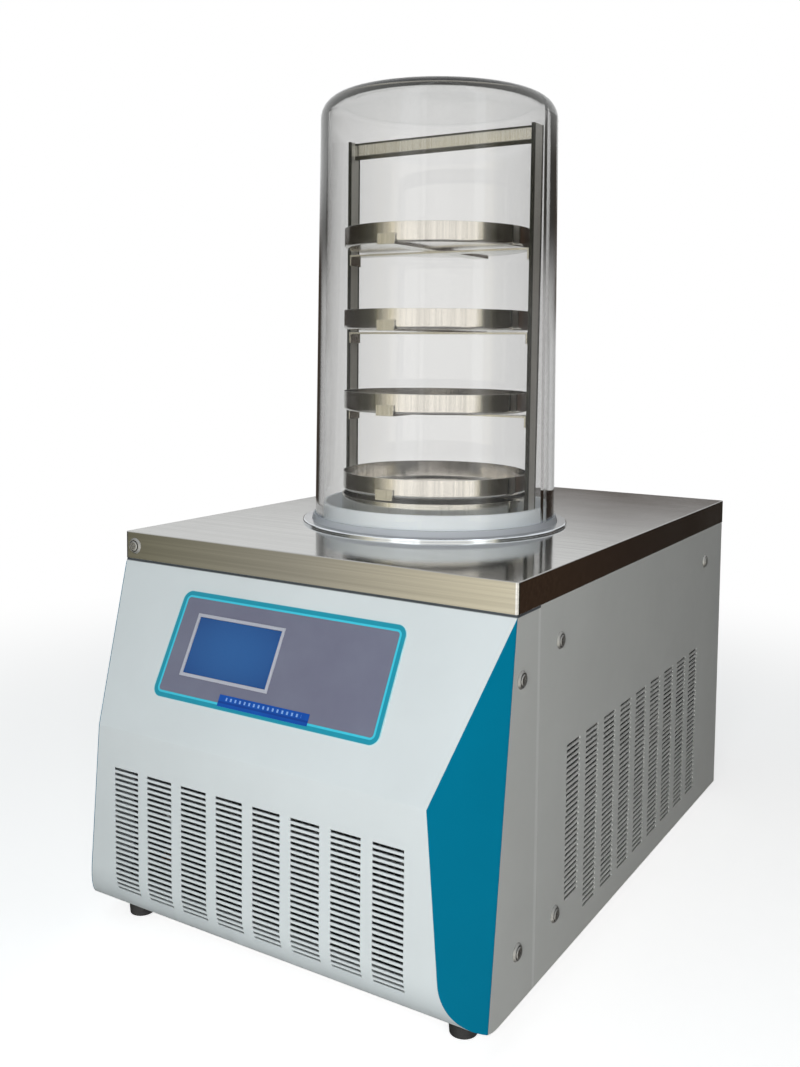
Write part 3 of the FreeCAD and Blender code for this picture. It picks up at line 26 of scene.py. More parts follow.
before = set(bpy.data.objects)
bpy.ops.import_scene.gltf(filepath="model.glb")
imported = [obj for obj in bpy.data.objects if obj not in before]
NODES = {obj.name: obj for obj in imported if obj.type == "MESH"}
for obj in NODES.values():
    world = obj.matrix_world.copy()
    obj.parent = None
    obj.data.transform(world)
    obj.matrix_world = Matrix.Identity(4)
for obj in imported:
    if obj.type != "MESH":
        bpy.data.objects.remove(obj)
cad_low, cad_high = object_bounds()
scene = bpy.context.scene


# ---- places and measures -------------------------------------------------------------------------------
plate_low, plate_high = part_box("top_plate")
bell_low, bell_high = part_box("bell_jar")
PLATE_TOP = plate_high.z
PLATE_FRONT = plate_low.y
LIP_FOOT = PLATE_TOP - 0.027          # underside of the plate's folded lip
SEAM_Y = PLATE_FRONT + 0.046          # joint between the fascia and a side panel
BELL_Y = (bell_low.y + bell_high.y) / 2
BELL_RADIUS = bell_high.x
BAR_TOP = 0.001                       # top of the rack's posts down to the bar between them
BAR_HEIGHT = 0.018
POST_WIDTH = 0.020
POST_SHEET = 0.003
LIPS_FROM = POST_WIDTH / 2 + 0.060    # the rack's tray lips lie farther out than this, along y


# ---- node trees ----------------------------------------------------------------------------------------
class Nodes:
    """A node tree, with short calls for the nodes that the finishes and the world share."""

    def __init__(self, tree):
        self.nodes = tree.nodes
        self.links = tree.links

    def node(self, kind, inputs=None, **settings):
        made = self.nodes.new("ShaderNode" + kind)
        for key, value in settings.items():
            setattr(made, key, value)
        for key, value in (inputs or {}).items():
            self.feed(made.inputs[key], value)
        return made

    def feed(self, socket, value):
        if isinstance(value, bpy.types.NodeSocket):
            self.links.new(value, socket)
        else:
            socket.default_value = value

    def math(self, operation, *values):
        made = self.node("Math", operation=operation)
        for socket, value in zip(made.inputs, values):
            self.feed(socket, value)
        return made.outputs[0]

    def plus(self, first, second):
        return self.math("ADD", first, second)

    def minus(self, first, second):
        return self.math("SUBTRACT", first, second)

    def times(self, product, *factors):
        for factor in factors:
            product = self.math("MULTIPLY", product, factor)
        return product

    def scaled(self, value, scale, offset):
        return self.math("MULTIPLY_ADD", value, scale, offset)

    def size(self, value):
        return self.math("ABSOLUTE", value)

    def larger(self, first, second):
        return self.math("MAXIMUM", first, second)

    def above(self, value, limit):
        return self.math("GREATER_THAN", value, limit)

    def below(self, value, limit):
        return self.math("LESS_THAN", value, limit)

    def opposite(self, share):
        return self.minus(1.0, share)

    def hypot(self, first, second):
        return self.math("SQRT", self.plus(self.times(first, first), self.times(second, second)))

    def axes(self, vector):
        return self.node("SeparateXYZ", {"Vector": vector}).outputs

    def spread(self, value, low, high, from_low=0.3, from_high=0.7):
        """value's middle range mapped to low..high."""
        made = self.node("MapRange", {"Value": value, "From Min": from_low, "From Max": from_high,
                                      "To Min": low, "To Max": high})
        return made.outputs["Result"]

    def rise(self, value, start, end):
        return self.spread(value, 0.0, 1.0, start, end)

    def fall(self, value, start, end):
        return self.spread(value, 1.0, 0.0, start, end)

    def smooth(self, value, start, end):
        made = self.node("MapRange", {"Value": value, "From Min": start, "From Max": end},
                         interpolation_type="SMOOTHSTEP")
        return made.outputs["Result"]

    def blend(self, factor, first, second):
        made = self.node("Mix", data_type="RGBA")
        self.feed(made.inputs["Factor"], factor)
        self.feed(made.inputs[6], first)
        self.feed(made.inputs[7], second)
        return made.outputs[2]

    def mix_shaders(self, factor, first, second):
        return self.node("MixShader", {0: factor, 1: first, 2: second}).outputs[0]

    def add_shaders(self, first, second):
        return self.node("AddShader", {0: first, 1: second}).outputs[0]


class Finish(Nodes):
    """A material's node tree, in the object's own coordinates."""

    def __init__(self, name):
        self.material = bpy.data.materials.new(name)
        self.material.use_nodes = True
        super().__init__(self.material.node_tree)
        self.shader = self.nodes["Principled BSDF"]
        self.output = self.nodes["Material Output"]
        self.place = self.node("TexCoord").outputs["Object"]

    def place_axes(self):
        return self.axes(self.place)

    def bell_radius(self):
        """Level distance from the bell's axis."""
        x, y, z = self.place_axes()
        return self.hypot(x, self.minus(y, BELL_Y))

    def stretched(self, scale):
        return self.node("Mapping", {"Vector": self.place, "Scale": scale}).outputs[0]

    def noise(self, scale, detail=3.0, rough=0.55, vector=None):
        made = self.node("TexNoise", {"Vector": vector or self.place, "Scale": scale, "Detail": detail,
                                      "Roughness": rough})
        return made.outputs["Fac"]

    def clouds(self, scale, detail=3.0):
        """Soft patches from 0 to 1."""
        return self.spread(self.noise(scale, detail), 0.0, 1.0)

    def bump(self, height, distance, strength=1.0, normal=None):
        inputs = {"Height": height, "Distance": distance, "Strength": strength}
        if normal is not None:
            inputs["Normal"] = normal
        return self.node("Bump", inputs).outputs[0]

    def round_edges(self, radius):
        return self.node("Bevel", {"Radius": radius}, samples=4).outputs[0]

    def set(self, **values):
        """Feeds the shader's sockets, named in lower case with underscores."""
        for key, value in values.items():
            self.feed(self.shader.inputs[key.replace("_", " ").title().replace("Ior", "IOR")], value)


def rgba(colour, scale=1.0):
    return tuple(min(1.0, c * scale) for c in colour) + (1.0,)


# ---- kinds of finish -----------------------------------------------------------------------------------
def powder_coat(name, colour, rough=0.38, peel=0.00006, edge=0.0008, shine=0.4, coat=0.1, flank=None):
    """Baked powder paint: fine orange peel, faint cloudiness and a soft coat.  flank is (x, colour): the
    faces at that distance either side of the middle have the other colour, a painted highlight makes the
    paint paler towards the joint with the side panel, and painted shade darkens it in the gap under the
    plate's lip."""
    lighter, darker = 1.02, 0.965
    t = Finish(name)
    light, dark = rgba(colour, lighter), rgba(colour, darker)
    if flank:
        flank_x, flank_colour = flank
        x, y, z = t.place_axes()
        beside = t.rise(t.size(x), flank_x - 0.0012, flank_x - 0.0004)
        # painted highlight: paler paint towards the joint with the side panel, standing for light caught by
        # the folded edge
        painted_seam_highlight = t.times(t.rise(y, SEAM_Y - 0.0052, SEAM_Y - 0.0030), 0.50)
        # painted shade: a dark line under the plate's lip, where shade falls in the gap
        painted_tuck_shade = t.rise(z, LIP_FOOT - 0.0030, LIP_FOOT - 0.0022)

        def shaded(scale, seam_highlight_colour, tuck_shade_colour):
            tone = t.blend(beside, rgba(colour, scale), rgba(flank_colour, scale))
            return t.blend(painted_tuck_shade, t.blend(painted_seam_highlight, tone, rgba(seam_highlight_colour)), rgba(tuck_shade_colour))

        # the joint colour is the painted highlight, and the dark colour under the lip is the painted shade
        light = shaded(lighter, (0.92, 0.93, 0.91), (0.05, 0.06, 0.07))
        dark = shaded(darker, (0.90, 0.91, 0.89), (0.04, 0.05, 0.06))
    t.set(base_color=t.blend(t.clouds(9.0, 4.0), dark, light))
    t.set(roughness=t.spread(t.noise(60.0), rough - 0.05, rough + 0.06))
    t.set(specular_ior_level=shine, coat_weight=coat, coat_roughness=0.22)
    t.set(normal=t.bump(t.noise(1400.0, 2.0), peel, 0.6, t.round_edges(edge)))
    return t.material


def brushed(name, colour, along, rough=(0.12, 0.24), grain=0.00003):
    """Stainless sheet with a grain along one axis, fine scratches and faint handling marks."""
    t = Finish(name)
    fine_scale = tuple(6.0 if i == along else 1600.0 for i in range(3))
    wide_scale = tuple(1.2 if i == along else 220.0 for i in range(3))
    fine = t.noise(1.0, 3.0, 0.6, t.stretched(fine_scale))
    wide = t.noise(1.0, 2.0, 0.5, t.stretched(wide_scale))
    marks = t.noise(14.0, 5.0, 0.6)
    tone = t.rise(t.times(wide, t.spread(fine, 0.8, 1.2)), 0.35, 0.65)
    t.set(base_color=t.blend(tone, rgba(colour, 0.86), rgba(colour, 1.03)), metallic=1.0, anisotropic=0.35)
    worn = t.plus(t.times(fine, 0.6), t.times(marks, 0.4))
    t.set(roughness=t.spread(worn, rough[0], rough[1], 0.35, 0.65))
    t.set(normal=t.bump(fine, grain, 0.5, t.round_edges(0.0006)))
    return t.material


def rack_steel(name):
    """Ground strip: pale faces between bands of painted shade along the edges, on the bar across the top and
    on both posts.  The lips that hold the trays are polished like them."""
    slack = 0.0005
    t = Finish(name)
    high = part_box("tray_rack")[1]
    x, y, z = t.place_axes()
    bar_down = t.minus(high.z - BAR_TOP, z)
    wide = t.size(t.minus(y, BELL_Y))
    on_post = t.above(t.size(x), high.x - POST_SHEET - slack)
    in_bar = t.times(t.below(bar_down, BAR_HEIGHT + slack), t.opposite(on_post))
    # painted shade: dark bands along the bar's top and bottom edges and along the posts' sides
    over = t.fall(bar_down, 0.0018, 0.0026)
    under = t.rise(bar_down, BAR_HEIGHT - 0.0050, BAR_HEIGHT - 0.0036)
    post_side_shade = t.rise(wide, POST_WIDTH / 2 - 0.0036, POST_WIDTH / 2 - 0.0020)
    edge = t.larger(t.times(in_bar, t.larger(over, under)), t.times(on_post, post_side_shade))
    lips = t.above(wide, LIPS_FROM)
    grain = t.noise(1.0, 3.0, 0.6, t.stretched((900.0, 900.0, 9.0)))
    face = t.blend(t.spread(grain, 0.0, 1.0), rgba((0.66, 0.65, 0.60)), rgba((0.78, 0.77, 0.73)))
    # the dark colour is the painted shade along the edges
    t.set(base_color=t.blend(edge, face, rgba((0.070, 0.070, 0.055))))
    t.set(metallic=t.opposite(t.times(on_post, 0.35)))
    satin = t.spread(t.plus(t.times(edge, 0.5), grain), 0.16, 0.42, 0.35, 1.1)
    satin = t.plus(satin, t.times(on_post, 0.16))
    t.set(roughness=t.minus(satin, t.times(lips, 0.10)))
    t.set(normal=t.bump(grain, 0.00001, 0.5, t.round_edges(0.0004)))
    return t.material


def turned_ring(name):
    """Turned ring with a painted highlight along its rounded outer edge."""
    t = Finish(name)
    ring_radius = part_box("flange_ring")[1].x
    radius = t.bell_radius()
    # painted highlight: a pale bluish line along the ring's outer edge
    painted_rim_highlight = t.rise(radius, ring_radius - 0.0022, ring_radius - 0.0010)
    turning = t.node("TexNoise", {"W": t.times(radius, 900.0), "Scale": 1.0}, noise_dimensions="1D")
    face = t.blend(turning.outputs["Fac"], rgba((0.46, 0.47, 0.49)), rgba((0.54, 0.55, 0.57)))
    t.set(base_color=t.blend(painted_rim_highlight, face, rgba((0.78, 0.82, 0.86))), metallic=1.0)
    t.set(roughness=t.spread(t.noise(60.0), 0.08, 0.16), normal=t.round_edges(0.0004))
    return t.material


def plain_metal(name, colour, rough=0.25, mottled=0.1, edge=0.0004):
    """Turned, drawn or plated metal with an even tooth."""
    t = Finish(name)
    tooth = t.noise(200.0)
    t.set(base_color=t.blend(t.clouds(40.0), rgba(colour, 1 - mottled), rgba(colour, 1.03)), metallic=1.0)
    t.set(roughness=t.spread(tooth, rough - 0.06, rough + 0.08))
    t.set(normal=t.bump(tooth, 0.00002, 0.5, t.round_edges(edge)))
    return t.material


def plastic(name, colour, rough=0.4, coat=0.0):
    """Moulded plastic with a fine tooth."""
    t = Finish(name)
    t.set(base_color=t.blend(t.clouds(25.0), rgba(colour, 0.94), rgba(colour, 1.04)), coat_weight=coat)
    t.set(roughness=t.spread(t.noise(90.0), rough - 0.06, rough + 0.08))
    t.set(normal=t.bump(t.noise(700.0, 2.0), 0.00004, 0.6, t.round_edges(0.0005)))
    return t.material


def rubber(name, colour):
    """Dull rubber with dust on it."""
    t = Finish(name)
    tooth = t.noise(900.0)
    dust = t.rise(t.noise(35.0, 4.0), 0.45, 0.8)
    t.set(base_color=t.blend(dust, rgba(colour), rgba(tuple(c + 0.035 for c in colour))))
    t.set(roughness=t.spread(tooth, 0.6, 0.8))
    t.set(normal=t.bump(tooth, 0.00006, 0.6, t.round_edges(0.001)))
    return t.material


def clear_acrylic(name):
    """Clear wall that takes a little light on its way through, so it darkens where it is seen edge on."""
    t = Finish(name)
    t.set(base_color=rgba((1.0, 1.0, 1.0)), transmission_weight=1.0, ior=1.49)
    smears = t.noise(1.0, 4.0, 0.6, t.stretched((16.0, 16.0, 3.0)))
    t.set(roughness=t.spread(smears, 0.0, 0.02, 0.45, 0.75))
    shadow = t.node("LightPath").outputs["Is Shadow Ray"]
    unbent = t.node("BsdfTransparent", {"Color": rgba((0.96, 0.97, 0.96))}).outputs[0]
    t.feed(t.output.inputs["Surface"], t.mix_shaders(shadow, t.shader.outputs[0], unbent))
    haze = t.node("VolumeAbsorption", {"Color": rgba((0.58, 0.58, 0.57)), "Density": 47.0})
    t.feed(t.output.inputs["Volume"], haze.outputs[0])
    return t.material


def silicone(name):
    """Seal rubber: milky, greyed by painted shade outside the bell's wall, and given a faint painted glow
    under the bell.
    """
    t = Finish(name)
    # painted shade: the seal greys outside the bell's wall
    outside = t.rise(t.bell_radius(), BELL_RADIUS - 0.0006, BELL_RADIUS + 0.0002)
    milk = t.blend(t.clouds(30.0), rgba((0.86, 0.92, 0.98)), rgba((0.90, 0.95, 1.0)))
    t.set(base_color=t.blend(outside, milk, rgba((0.52, 0.545, 0.58))))
    t.set(roughness=t.spread(t.noise(300.0, 2.0), 0.30, 0.42))
    t.set(subsurface_weight=0.25, subsurface_radius=(0.006, 0.006, 0.007), subsurface_scale=1.0)
    # painted glow: under the bell the seal gives off a little light of its own
    t.set(emission_color=milk, emission_strength=t.times(t.opposite(outside), 0.13))
    t.set(normal=t.bump(t.noise(500.0, 2.0), 0.00003, 0.5))
    return t.material


def foam(name):
    """Open foam with small cells."""
    t = Finish(name)
    cells = t.node("TexVoronoi", {"Vector": t.place, "Scale": 420.0}).outputs["Distance"]
    t.set(base_color=t.blend(t.clouds(20.0, 4.0), rgba((0.78, 0.70, 0.46)), rgba((0.88, 0.82, 0.60))))
    t.set(roughness=0.9, normal=t.bump(cells, 0.0008, 0.8))
    return t.material


def overlay(name):
    """Printed film: grey-violet field inside a teal border with a bright line in it and rounded corners, and
    a painted highlight along the border's outer edge.
    """
    corner = 0.010
    t = Finish(name)
    low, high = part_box("display_overlay")
    slope = Vector((0.0, high.y - low.y, high.z - low.z))
    half_width = (high.x - low.x) / 2 - corner
    half_height = slope.length / 2 - corner
    middle = tuple((low + high) / 2)
    from_middle = t.node("VectorMath", {0: t.place, 1: middle}, operation="SUBTRACT").outputs[0]
    x = t.axes(from_middle)[0]
    up = t.node("VectorMath", {0: from_middle, 1: tuple(slope.normalized())}, operation="DOT_PRODUCT")
    side = t.minus(t.size(x), half_width)
    top = t.minus(t.size(up.outputs["Value"]), half_height)
    outside = t.hypot(t.larger(side, 0.0), t.larger(top, 0.0))
    inside = t.math("MINIMUM", t.larger(side, top), 0.0)
    depth = t.minus(corner, t.plus(outside, inside))
    border = t.fall(depth, 0.0066, 0.0070)
    line = t.times(t.rise(depth, 0.0046, 0.0050), border)
    # painted highlight: a pale line along the film's outer edge
    painted_rim_highlight = t.fall(depth, 0.0006, 0.0009)
    field = t.blend(t.clouds(26.0), rgba((0.158, 0.162, 0.232)), rgba((0.180, 0.190, 0.262)))
    teal = t.blend(line, rgba((0.0, 0.300, 0.420)), rgba((0.05, 0.62, 0.80)))
    teal = t.blend(painted_rim_highlight, teal, rgba((0.45, 0.78, 0.82)))
    t.set(base_color=t.blend(border, field, teal), coat_weight=0.1, coat_roughness=0.15)
    t.set(roughness=t.spread(t.noise(120.0, 2.0), 0.34, 0.44))
    t.set(normal=t.bump(t.plus(border, t.times(t.noise(2200.0, 2.0), 0.1)), 0.0002, 0.8))
    return t.material


def strip(name):
    """Blue strip with a row of small raised ticks in its upper half and a darker band in its lower half."""
    ticks_per_metre = 190.0
    bare_end = 0.008
    t = Finish(name)
    low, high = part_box("label_strip")
    x, y, z = t.place_axes()

    def between(value, start, end):
        return t.times(t.above(value, start), t.below(value, end))

    def level(share):
        return low.z + (high.z - low.z) * share

    tick = between(t.math("FRACT", t.times(t.minus(x, low.x), ticks_per_metre)), 0.45, 0.80)
    row = between(z, level(0.56), level(0.82))
    mark = t.times(tick, row, between(x, low.x + bare_end, high.x - bare_end))
    band = between(z, level(0.30), level(0.46))
    blue = t.blend(t.clouds(40.0, 2.0), rgba((0.004, 0.070, 0.38)), rgba((0.006, 0.100, 0.49)))
    blue = t.blend(t.times(band, 0.6), blue, rgba((0.002, 0.030, 0.22)))
    t.set(base_color=t.blend(t.times(mark, 0.85), blue, rgba((0.30, 0.52, 0.90))))
    t.set(roughness=0.36, specular_ior_level=0.25, normal=t.bump(mark, 0.00015, 0.6))
    return t.material


def lcd(name):
    """Blue screen under glass: faint rows of cells and a slightly brighter middle."""
    rows_per_metre, columns_per_metre = 1400.0, 1250.0
    gap_from = 0.82
    t = Finish(name)
    low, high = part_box("lcd_bezel")
    x, y, z = t.place_axes()

    def off_middle(value, start, end):
        """-1 to 1 from one side of the screen to the other."""
        return t.math("DIVIDE", t.minus(value, (start + end) / 2), (end - start) / 2)

    def gaps(value, count):
        return t.above(t.math("FRACT", t.times(value, count)), gap_from)

    across = off_middle(x, low.x, high.x)
    up = off_middle(z, low.z, high.z)
    away = t.plus(t.times(across, across), t.times(up, up))
    colour = t.blend(t.fall(away, 0.0, 1.6), rgba((0.012, 0.078, 0.270)), rgba((0.026, 0.128, 0.37)))
    grid = t.times(t.larger(gaps(z, rows_per_metre), gaps(x, columns_per_metre)), 0.25)
    t.set(base_color=t.blend(grid, colour, rgba((0.02, 0.06, 0.22))))
    t.set(roughness=0.30, specular_ior_level=0.2, coat_weight=0.15, coat_roughness=0.10)
    t.set(normal=t.bump(t.noise(120.0, 2.0), 0.00001, 0.3))
    return t.material


def board(name):
    """Solder mask with the copper tracks showing through it."""
    t = Finish(name)
    tracks = t.node("TexBrick", {"Vector": t.stretched((160.0, 160.0, 160.0)), "Scale": 1.0}).outputs["Fac"]
    showing = t.spread(tracks, 0.0, 0.5, 0.0, 1.0)
    t.set(base_color=t.blend(showing, rgba((0.02, 0.16, 0.07)), rgba((0.05, 0.30, 0.13))))
    t.set(roughness=t.spread(t.noise(80.0, 2.0), 0.3, 0.5))
    return t.material


# ---- finishes ------------------------------------------------------------------------------------------
PANEL_GREY = (0.70, 0.71, 0.68)
WHITE = powder_coat("finish_white", (0.76, 0.815, 0.825), flank=(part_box("front_fascia")[1].x, PANEL_GREY))
GREY = powder_coat("finish_grey", PANEL_GREY, rough=0.42)
TEAL = powder_coat("finish_teal", (0.0, 0.200, 0.335), rough=0.40, peel=0.00002, edge=0.0003, shine=0.05,
                   coat=0.0)
PLATE = brushed("finish_plate", (0.52, 0.515, 0.50), 0, rough=(0.05, 0.12), grain=0.00002)
POLISHED = brushed("finish_polished", (0.82, 0.80, 0.77), 2, rough=(0.08, 0.18), grain=0.00001)
RACK = rack_steel("finish_rack")
RING = turned_ring("finish_ring")
SATIN = brushed("finish_satin", (0.80, 0.80, 0.78), 0, rough=(0.30, 0.44))
ZINC = plain_metal("finish_zinc", (0.50, 0.51, 0.53), rough=0.38)
SCREW = plain_metal("finish_screw", (0.34, 0.34, 0.33), rough=0.46, edge=0.0003)
FINS = plain_metal("finish_fins", (0.62, 0.63, 0.64), rough=0.36)
COPPER = plain_metal("finish_copper", (0.72, 0.36, 0.22), rough=0.26, mottled=0.3)
BRASS = plain_metal("finish_brass", (0.62, 0.46, 0.20), rough=0.24, mottled=0.15)
SHAFT = plain_metal("finish_shaft", (0.56, 0.56, 0.56), rough=0.2)
BLACK_PAINT = powder_coat("finish_black_paint", (0.022, 0.022, 0.024), rough=0.34)
BLACK = plastic("finish_black_plastic", (0.03, 0.03, 0.032), rough=0.45)
RED = plastic("finish_red_plastic", (0.50, 0.02, 0.016), rough=0.30, coat=0.3)
HOSE = plastic("finish_hose", (0.74, 0.76, 0.74), rough=0.35)
BEZEL = plastic("finish_bezel", (0.52, 0.53, 0.60), rough=0.32)
OVERLAY = overlay("finish_overlay")
STRIP = strip("finish_strip")
RUBBER = rubber("finish_rubber", (0.012, 0.012, 0.013))
SILICONE = silicone("finish_silicone")
FOAM = foam("finish_foam")
LCD = lcd("finish_lcd")
BOARD = board("finish_board")
ACRYLIC = clear_acrylic("finish_bell")
CASE = brushed("finish_case", (0.60, 0.61, 0.62), 1, rough=(0.25, 0.38))

FINISH_OF = {
    "top_plate": PLATE, "front_fascia": WHITE, "cheek_trim_left": TEAL, "cheek_trim_right": TEAL,
    "side_panel_left": GREY, "side_panel_right": GREY, "back_panel": GREY, "base_pan": ZINC,
    "upright_front_left": ZINC, "upright_front_right": ZINC, "upright_rear_left": ZINC,
    "upright_rear_right": ZINC, "fan_bracket": ZINC, "rubber_feet": RUBBER, "compressor_grommets": RUBBER,
    "foot_screws": SCREW, "housing_screws": SCREW, "back_panel_screws": SCREW, "compressor_bolts": SCREW,
    "board_standoffs": BRASS, "display_overlay": OVERLAY, "lcd_bezel": BEZEL, "lcd_module": LCD,
    "label_strip": STRIP, "control_board": BOARD, "bell_jar": ACRYLIC, "bell_seal": SILICONE,
    "flange_ring": RING, "cold_trap": SATIN, "evaporator_coil": COPPER, "trap_insulation": FOAM,
    "tray_rack": RACK, "tray_1": POLISHED, "tray_2": POLISHED, "tray_3": POLISHED, "tray_4": POLISHED,
    "condenser_core": FINS, "fan_shroud": BLACK_PAINT, "fan_blades": BLACK, "fan_shaft": SHAFT,
    "fan_motor": BLACK_PAINT, "compressor": BLACK_PAINT, "discharge_pipe": COPPER, "liquid_pipe": COPPER,
    "filter_drier": COPPER, "capillary_tube": COPPER, "suction_pipe": COPPER, "vacuum_pipe": POLISHED,
    "vacuum_gauge": BLACK, "vent_valve": BRASS, "vent_knob": BLACK, "drain_pipe": HOSE,
    "drain_valve": BRASS, "drain_lever": RED, "power_inlet": BLACK, "pump_socket": BLACK,
    "switch_housing": BLACK, "switch_rocker": RED, "power_supply": CASE, "wiring_loom": BLACK,
}

for name, obj in NODES.items():
    obj.data.materials.clear()
    obj.data.materials.append(FINISH_OF[name])


# ---- camera --------------------------------------------------------------------------------------------
def photo_camera():
    """Camera placed from the plate's front edge and top, with its own right, up and forward directions."""
    right = Vector((0.850527, 0.525837, 0.009973))
    up = Vector((-0.046816, 0.056809, 0.997287))
    ahead = Vector((-0.523844, 0.848686, -0.072935))
    place = Vector((0.5994, PLATE_FRONT - 0.7996, PLATE_TOP + 0.1873))
    data = bpy.data.cameras.new("photo_camera")
    data.sensor_fit = "AUTO"
    data.sensor_width = 36.0
    data.lens = 37.3
    data.shift_y = -0.0977
    data.clip_start = 0.01
    made = bpy.data.objects.new("photo_camera", data)
    made.matrix_world = Matrix.Translation(place) @ Matrix((right, up, -ahead)).transposed().to_4x4()
    scene.collection.objects.link(made)
    scene.camera = made


# ---- floor ---------------------------------------------------------------------------------------------
FLOOR_RADIUS = 9.0
FLOOR_GREY = 0.75
FLOOR_LIFT = 0.68                     # light that the floor gives back by itself, so that it reads as white
FLOOR_FADE = (0.55, 1.5)              # distances from the middle over which the floor turns to plain white


def floor():
    """Round pale floor that keeps the shadow, fades into the white world, and is left out of reflections."""
    mesh = bpy.data.meshes.new("floor")
    bm = bmesh.new()
    bmesh.ops.create_circle(bm, cap_ends=True, segments=96, radius=FLOOR_RADIUS)
    bm.to_mesh(mesh)
    bm.free()
    made = bpy.data.objects.new("floor", mesh)
    made.location.z = cad_low.z - 0.0002
    scene.collection.objects.link(made)
    t = Finish("floor_pale")
    t.set(base_color=rgba((FLOOR_GREY, FLOOR_GREY, FLOOR_GREY)), roughness=0.9, specular_ior_level=0.0)
    x, y, z = t.place_axes()
    path = t.node("LightPath").outputs
    mirrored = t.above(path["Glossy Depth"], 0.5)
    seen = t.larger(path["Is Camera Ray"], path["Is Transmission Ray"])
    white = rgba((1.0, 1.0, 1.0))
    lift = t.node("Emission", {"Color": white, "Strength": t.times(seen, FLOOR_LIFT)}).outputs[0]
    near = t.add_shaders(t.shader.outputs[0], lift)
    plain_white = t.node("Emission", {"Color": white, "Strength": 1.0}).outputs[0]
    far = t.smooth(t.hypot(x, y), *FLOOR_FADE)
    faded = t.mix_shaders(t.times(seen, far), near, plain_white)
    clear = t.node("BsdfTransparent").outputs[0]
    t.feed(t.output.inputs["Surface"], t.mix_shaders(mirrored, faded, clear))
    made.data.materials.append(t.material)
    made.visible_glossy = False


# ---- world ---------------------------------------------------------------------------------------------
# Level directions, as (x, y).
TO_CAMERA = (0.525, -0.851)
TO_RIGHT = (0.851, 0.525)             # the camera's right
TO_GAP = (-0.777, 0.629)              # bright gap behind the object, on its left
TO_BRIGHT_BACK = (-0.267, 0.964)      # narrow strip where the pale room reaches lower
TO_RIGHT_EDGE = (-0.15, 0.989)        # mirrored by the right edge of the bell
TO_WINDOW = (0.052, -0.998)
TO_SIDE_WINDOW = (0.930, -0.366)
TO_LEFT = (-1.0, 0.0)
TO_BACK = (0.0, 1.0)

# The low part of the room from straight behind the object (0) round to the camera's side (1).
ROOM_BAND = [(0.0, (0.060, 0.037, 0.024)), (0.10, (0.034, 0.024, 0.019)), (0.20, (0.028, 0.024, 0.018)),
             (0.29, (0.040, 0.034, 0.026)), (0.45, (0.040, 0.038, 0.028)), (0.58, (0.08, 0.078, 0.055)),
             (0.615, (0.31, 0.295, 0.21)), (0.683, (0.54, 0.51, 0.42)), (0.768, (1.14, 1.05, 0.80)),
             (0.84, (1.42, 1.37, 1.26)), (1.0, (1.38, 1.34, 1.26))]


class Sky(Nodes):
    """The world's node tree, with the direction that each ray leaves in."""

    def __init__(self, tree):
        super().__init__(tree)
        self.path = self.node("LightPath").outputs
        self.x, self.y, self.z = self.axes(self.node("TexCoord").outputs["Generated"])
        self.down = self.times(self.z, -1.0)
        self.level = self.hypot(self.x, self.y)

    def along(self, across, ahead):
        return self.plus(self.times(self.x, across), self.times(self.y, ahead))

    def towards(self, direction):
        """Cosine of the level angle to a direction: 1 towards it, -1 away from it."""
        return self.math("DIVIDE", self.along(*direction), self.level)

    def light(self, colour, strength=1.0):
        return self.node("Background", {"Color": colour, "Strength": strength}).outputs[0]


def room(sky):
    """Pale room above, with the dim warm band low down that is broken by the gap."""
    right = sky.smooth(sky.towards(TO_RIGHT), 0.72, 0.86)
    front = sky.minus(sky.towards(TO_CAMERA), sky.times(right, 0.5))
    band = sky.node("ValToRGB", {0: sky.scaled(front, 0.5, 0.5)})
    ramp = band.color_ramp.elements
    ramp[0].position, ramp[1].position = ROOM_BAND[0][0], ROOM_BAND[-1][0]
    ramp[0].color, ramp[1].color = ROOM_BAND[0][1] + (1.0,), ROOM_BAND[-1][1] + (1.0,)
    for position, colour in ROOM_BAND[1:-1]:
        ramp.new(position).color = colour + (1.0,)
    height = sky.scaled(sky.smooth(sky.towards(TO_GAP), 0.86, 0.94), 0.092, sky.z)
    height = sky.scaled(sky.smooth(sky.towards(TO_BRIGHT_BACK), 0.980, 0.996), 0.055, height)
    colour = sky.blend(sky.smooth(height, 0.16, 0.26), band.outputs["Color"], rgba((0.88, 0.89, 0.89)))
    inner = sky.above(sky.path["Transmission Depth"], 0.5)
    low_left = sky.times(sky.smooth(sky.towards(TO_LEFT), 0.12, 0.32),
                         sky.smooth(sky.towards(TO_BACK), 0.3, 0.6), sky.smooth(sky.down, -0.02, 0.03))
    colour = sky.blend(sky.times(low_left, inner), colour, rgba((0.85, 0.86, 0.86)))
    right_edge = sky.times(sky.smooth(sky.towards(TO_RIGHT_EDGE), 0.925, 0.955),
                           sky.smooth(sky.down, -0.05, 0.0), sky.opposite(inner))
    return sky.mix_shaders(right_edge, sky.light(colour), sky.light(rgba((0.62, 0.62, 0.62))))


def windows(sky):
    """Two soft upright windows that only the outer faces mirror."""
    outermost = sky.below(sky.path["Transmission Depth"], 0.5)
    shape = sky.larger(sky.smooth(sky.towards(TO_WINDOW), 0.978, 0.992),
                       sky.smooth(sky.towards(TO_SIDE_WINDOW), 0.9925, 0.9975))
    return sky.light(rgba((0.94, 0.97, 1.0)), sky.times(shape, outermost, 0.9))


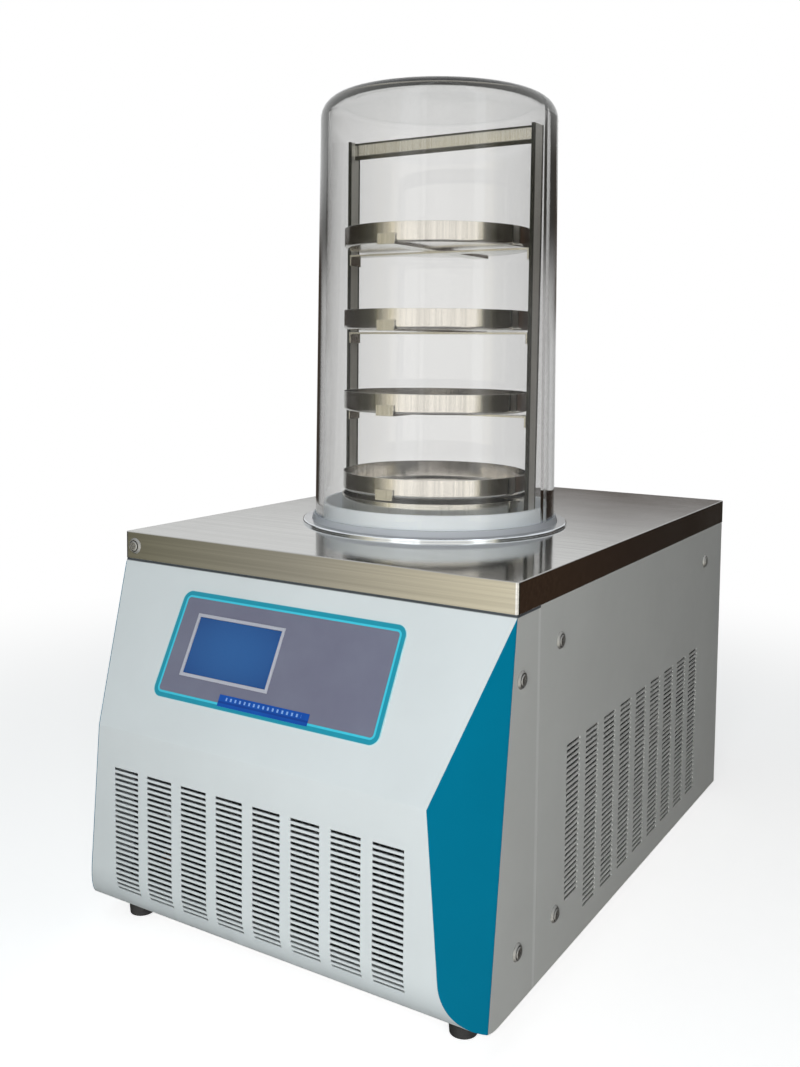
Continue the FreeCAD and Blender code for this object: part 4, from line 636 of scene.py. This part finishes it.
def wall_glow(sky):
    """What light sees once it has been mirrored inside the bell's wall: pale where it leaves level, darker
    the steeper it leaves, and dark to both sides and straight behind the object, which draws the outline."""
    ahead = sky.plus(sky.along(-0.524, 0.849), sky.times(sky.z, -0.073))
    beside = sky.size(sky.along(0.851, 0.526))
    leftward = sky.smooth(sky.along(-0.851, -0.526), -0.10, 0.06)
    shade = sky.blend(sky.smooth(sky.z, 0.08, 0.30), rgba((0.80, 0.80, 0.80)), rgba((0.36, 0.335, 0.28)))
    shade = sky.blend(sky.smooth(sky.z, 0.55, 0.75), shade, rgba((0.05, 0.05, 0.045)))
    corner = sky.times(sky.smooth(sky.z, 0.03, 0.12), sky.smooth(beside, 0.10, 0.24))
    below = sky.smooth(sky.down, 0.12, 0.30)
    outline = sky.times(sky.smooth(ahead, 0.885, 0.945), sky.scaled(leftward, 0.55, 0.45))
    dark = sky.larger(sky.larger(corner, below), outline)
    return sky.light(sky.blend(dark, shade, rgba((0.07, 0.07, 0.065))))


def studio_world():
    """White to the camera and through glass.  Gloss sees the room and its windows, light mirrored inside the
    bell's wall sees a glow of its own, and everything else gets a faint even light."""
    world = bpy.data.worlds.new("studio")
    scene.world = world
    world.use_nodes = True
    world.node_tree.nodes.clear()
    sky = Sky(world.node_tree)
    bounced = sky.above(sky.path["Diffuse Depth"], 0.5)
    mirrored = sky.above(sky.path["Glossy Depth"], 0.5)
    through = sky.times(sky.path["Is Transmission Ray"], sky.opposite(bounced))
    within_wall = sky.below(sky.path["Transmission Depth"], 3.5)
    seen = sky.larger(sky.path["Is Camera Ray"], sky.times(through, sky.opposite(mirrored)))
    gloss = sky.larger(sky.path["Is Glossy Ray"], sky.times(through, mirrored))
    faint = sky.light(rgba((0.95, 0.98, 1.0)), 0.07)
    lit = sky.mix_shaders(gloss, faint, sky.add_shaders(room(sky), windows(sky)))
    lit = sky.mix_shaders(sky.times(through, mirrored, within_wall), lit, wall_glow(sky))
    white = sky.light(rgba((1.0, 1.0, 1.0)))
    sky.node("OutputWorld", {"Surface": sky.mix_shaders(seen, lit, white)})


# ---- lamps ---------------------------------------------------------------------------------------------
# name, place, target, width and height, watts, colour, whether it shows in gloss
LAMPS = [
    ("key", (0.80, -1.68, 0.68), (0.0, -0.1, 0.22), (0.9, 0.9), 20.0, (1.0, 1.0, 1.0), False),
    ("top_soft", (-0.6, -0.6, 2.4), (0.0, 0.0, 0.4), (1.8, 1.8), 7.0, (0.72, 0.93, 1.0), False),
    ("streak", (0.72, -2.45, 0.95), (0.0, 0.0, 0.6), (0.16, 1.5), 0.7, (1.0, 1.0, 1.0), True),
]


def softbox(name, place, target, size, power, colour, in_gloss):
    data = bpy.data.lights.new(name, "AREA")
    data.shape = "RECTANGLE"
    data.size, data.size_y = size
    data.energy = power
    data.color = colour
    made = bpy.data.objects.new(name, data)
    made.location = place
    made.rotation_euler = (Vector(target) - Vector(place)).to_track_quat("-Z", "Y").to_euler()
    made.visible_glossy = in_gloss
    made.visible_transmission = False
    scene.collection.objects.link(made)


photo_camera()
floor()
studio_world()
for lamp in LAMPS:
    softbox(*lamp)
scene.view_settings.view_transform = "Standard"
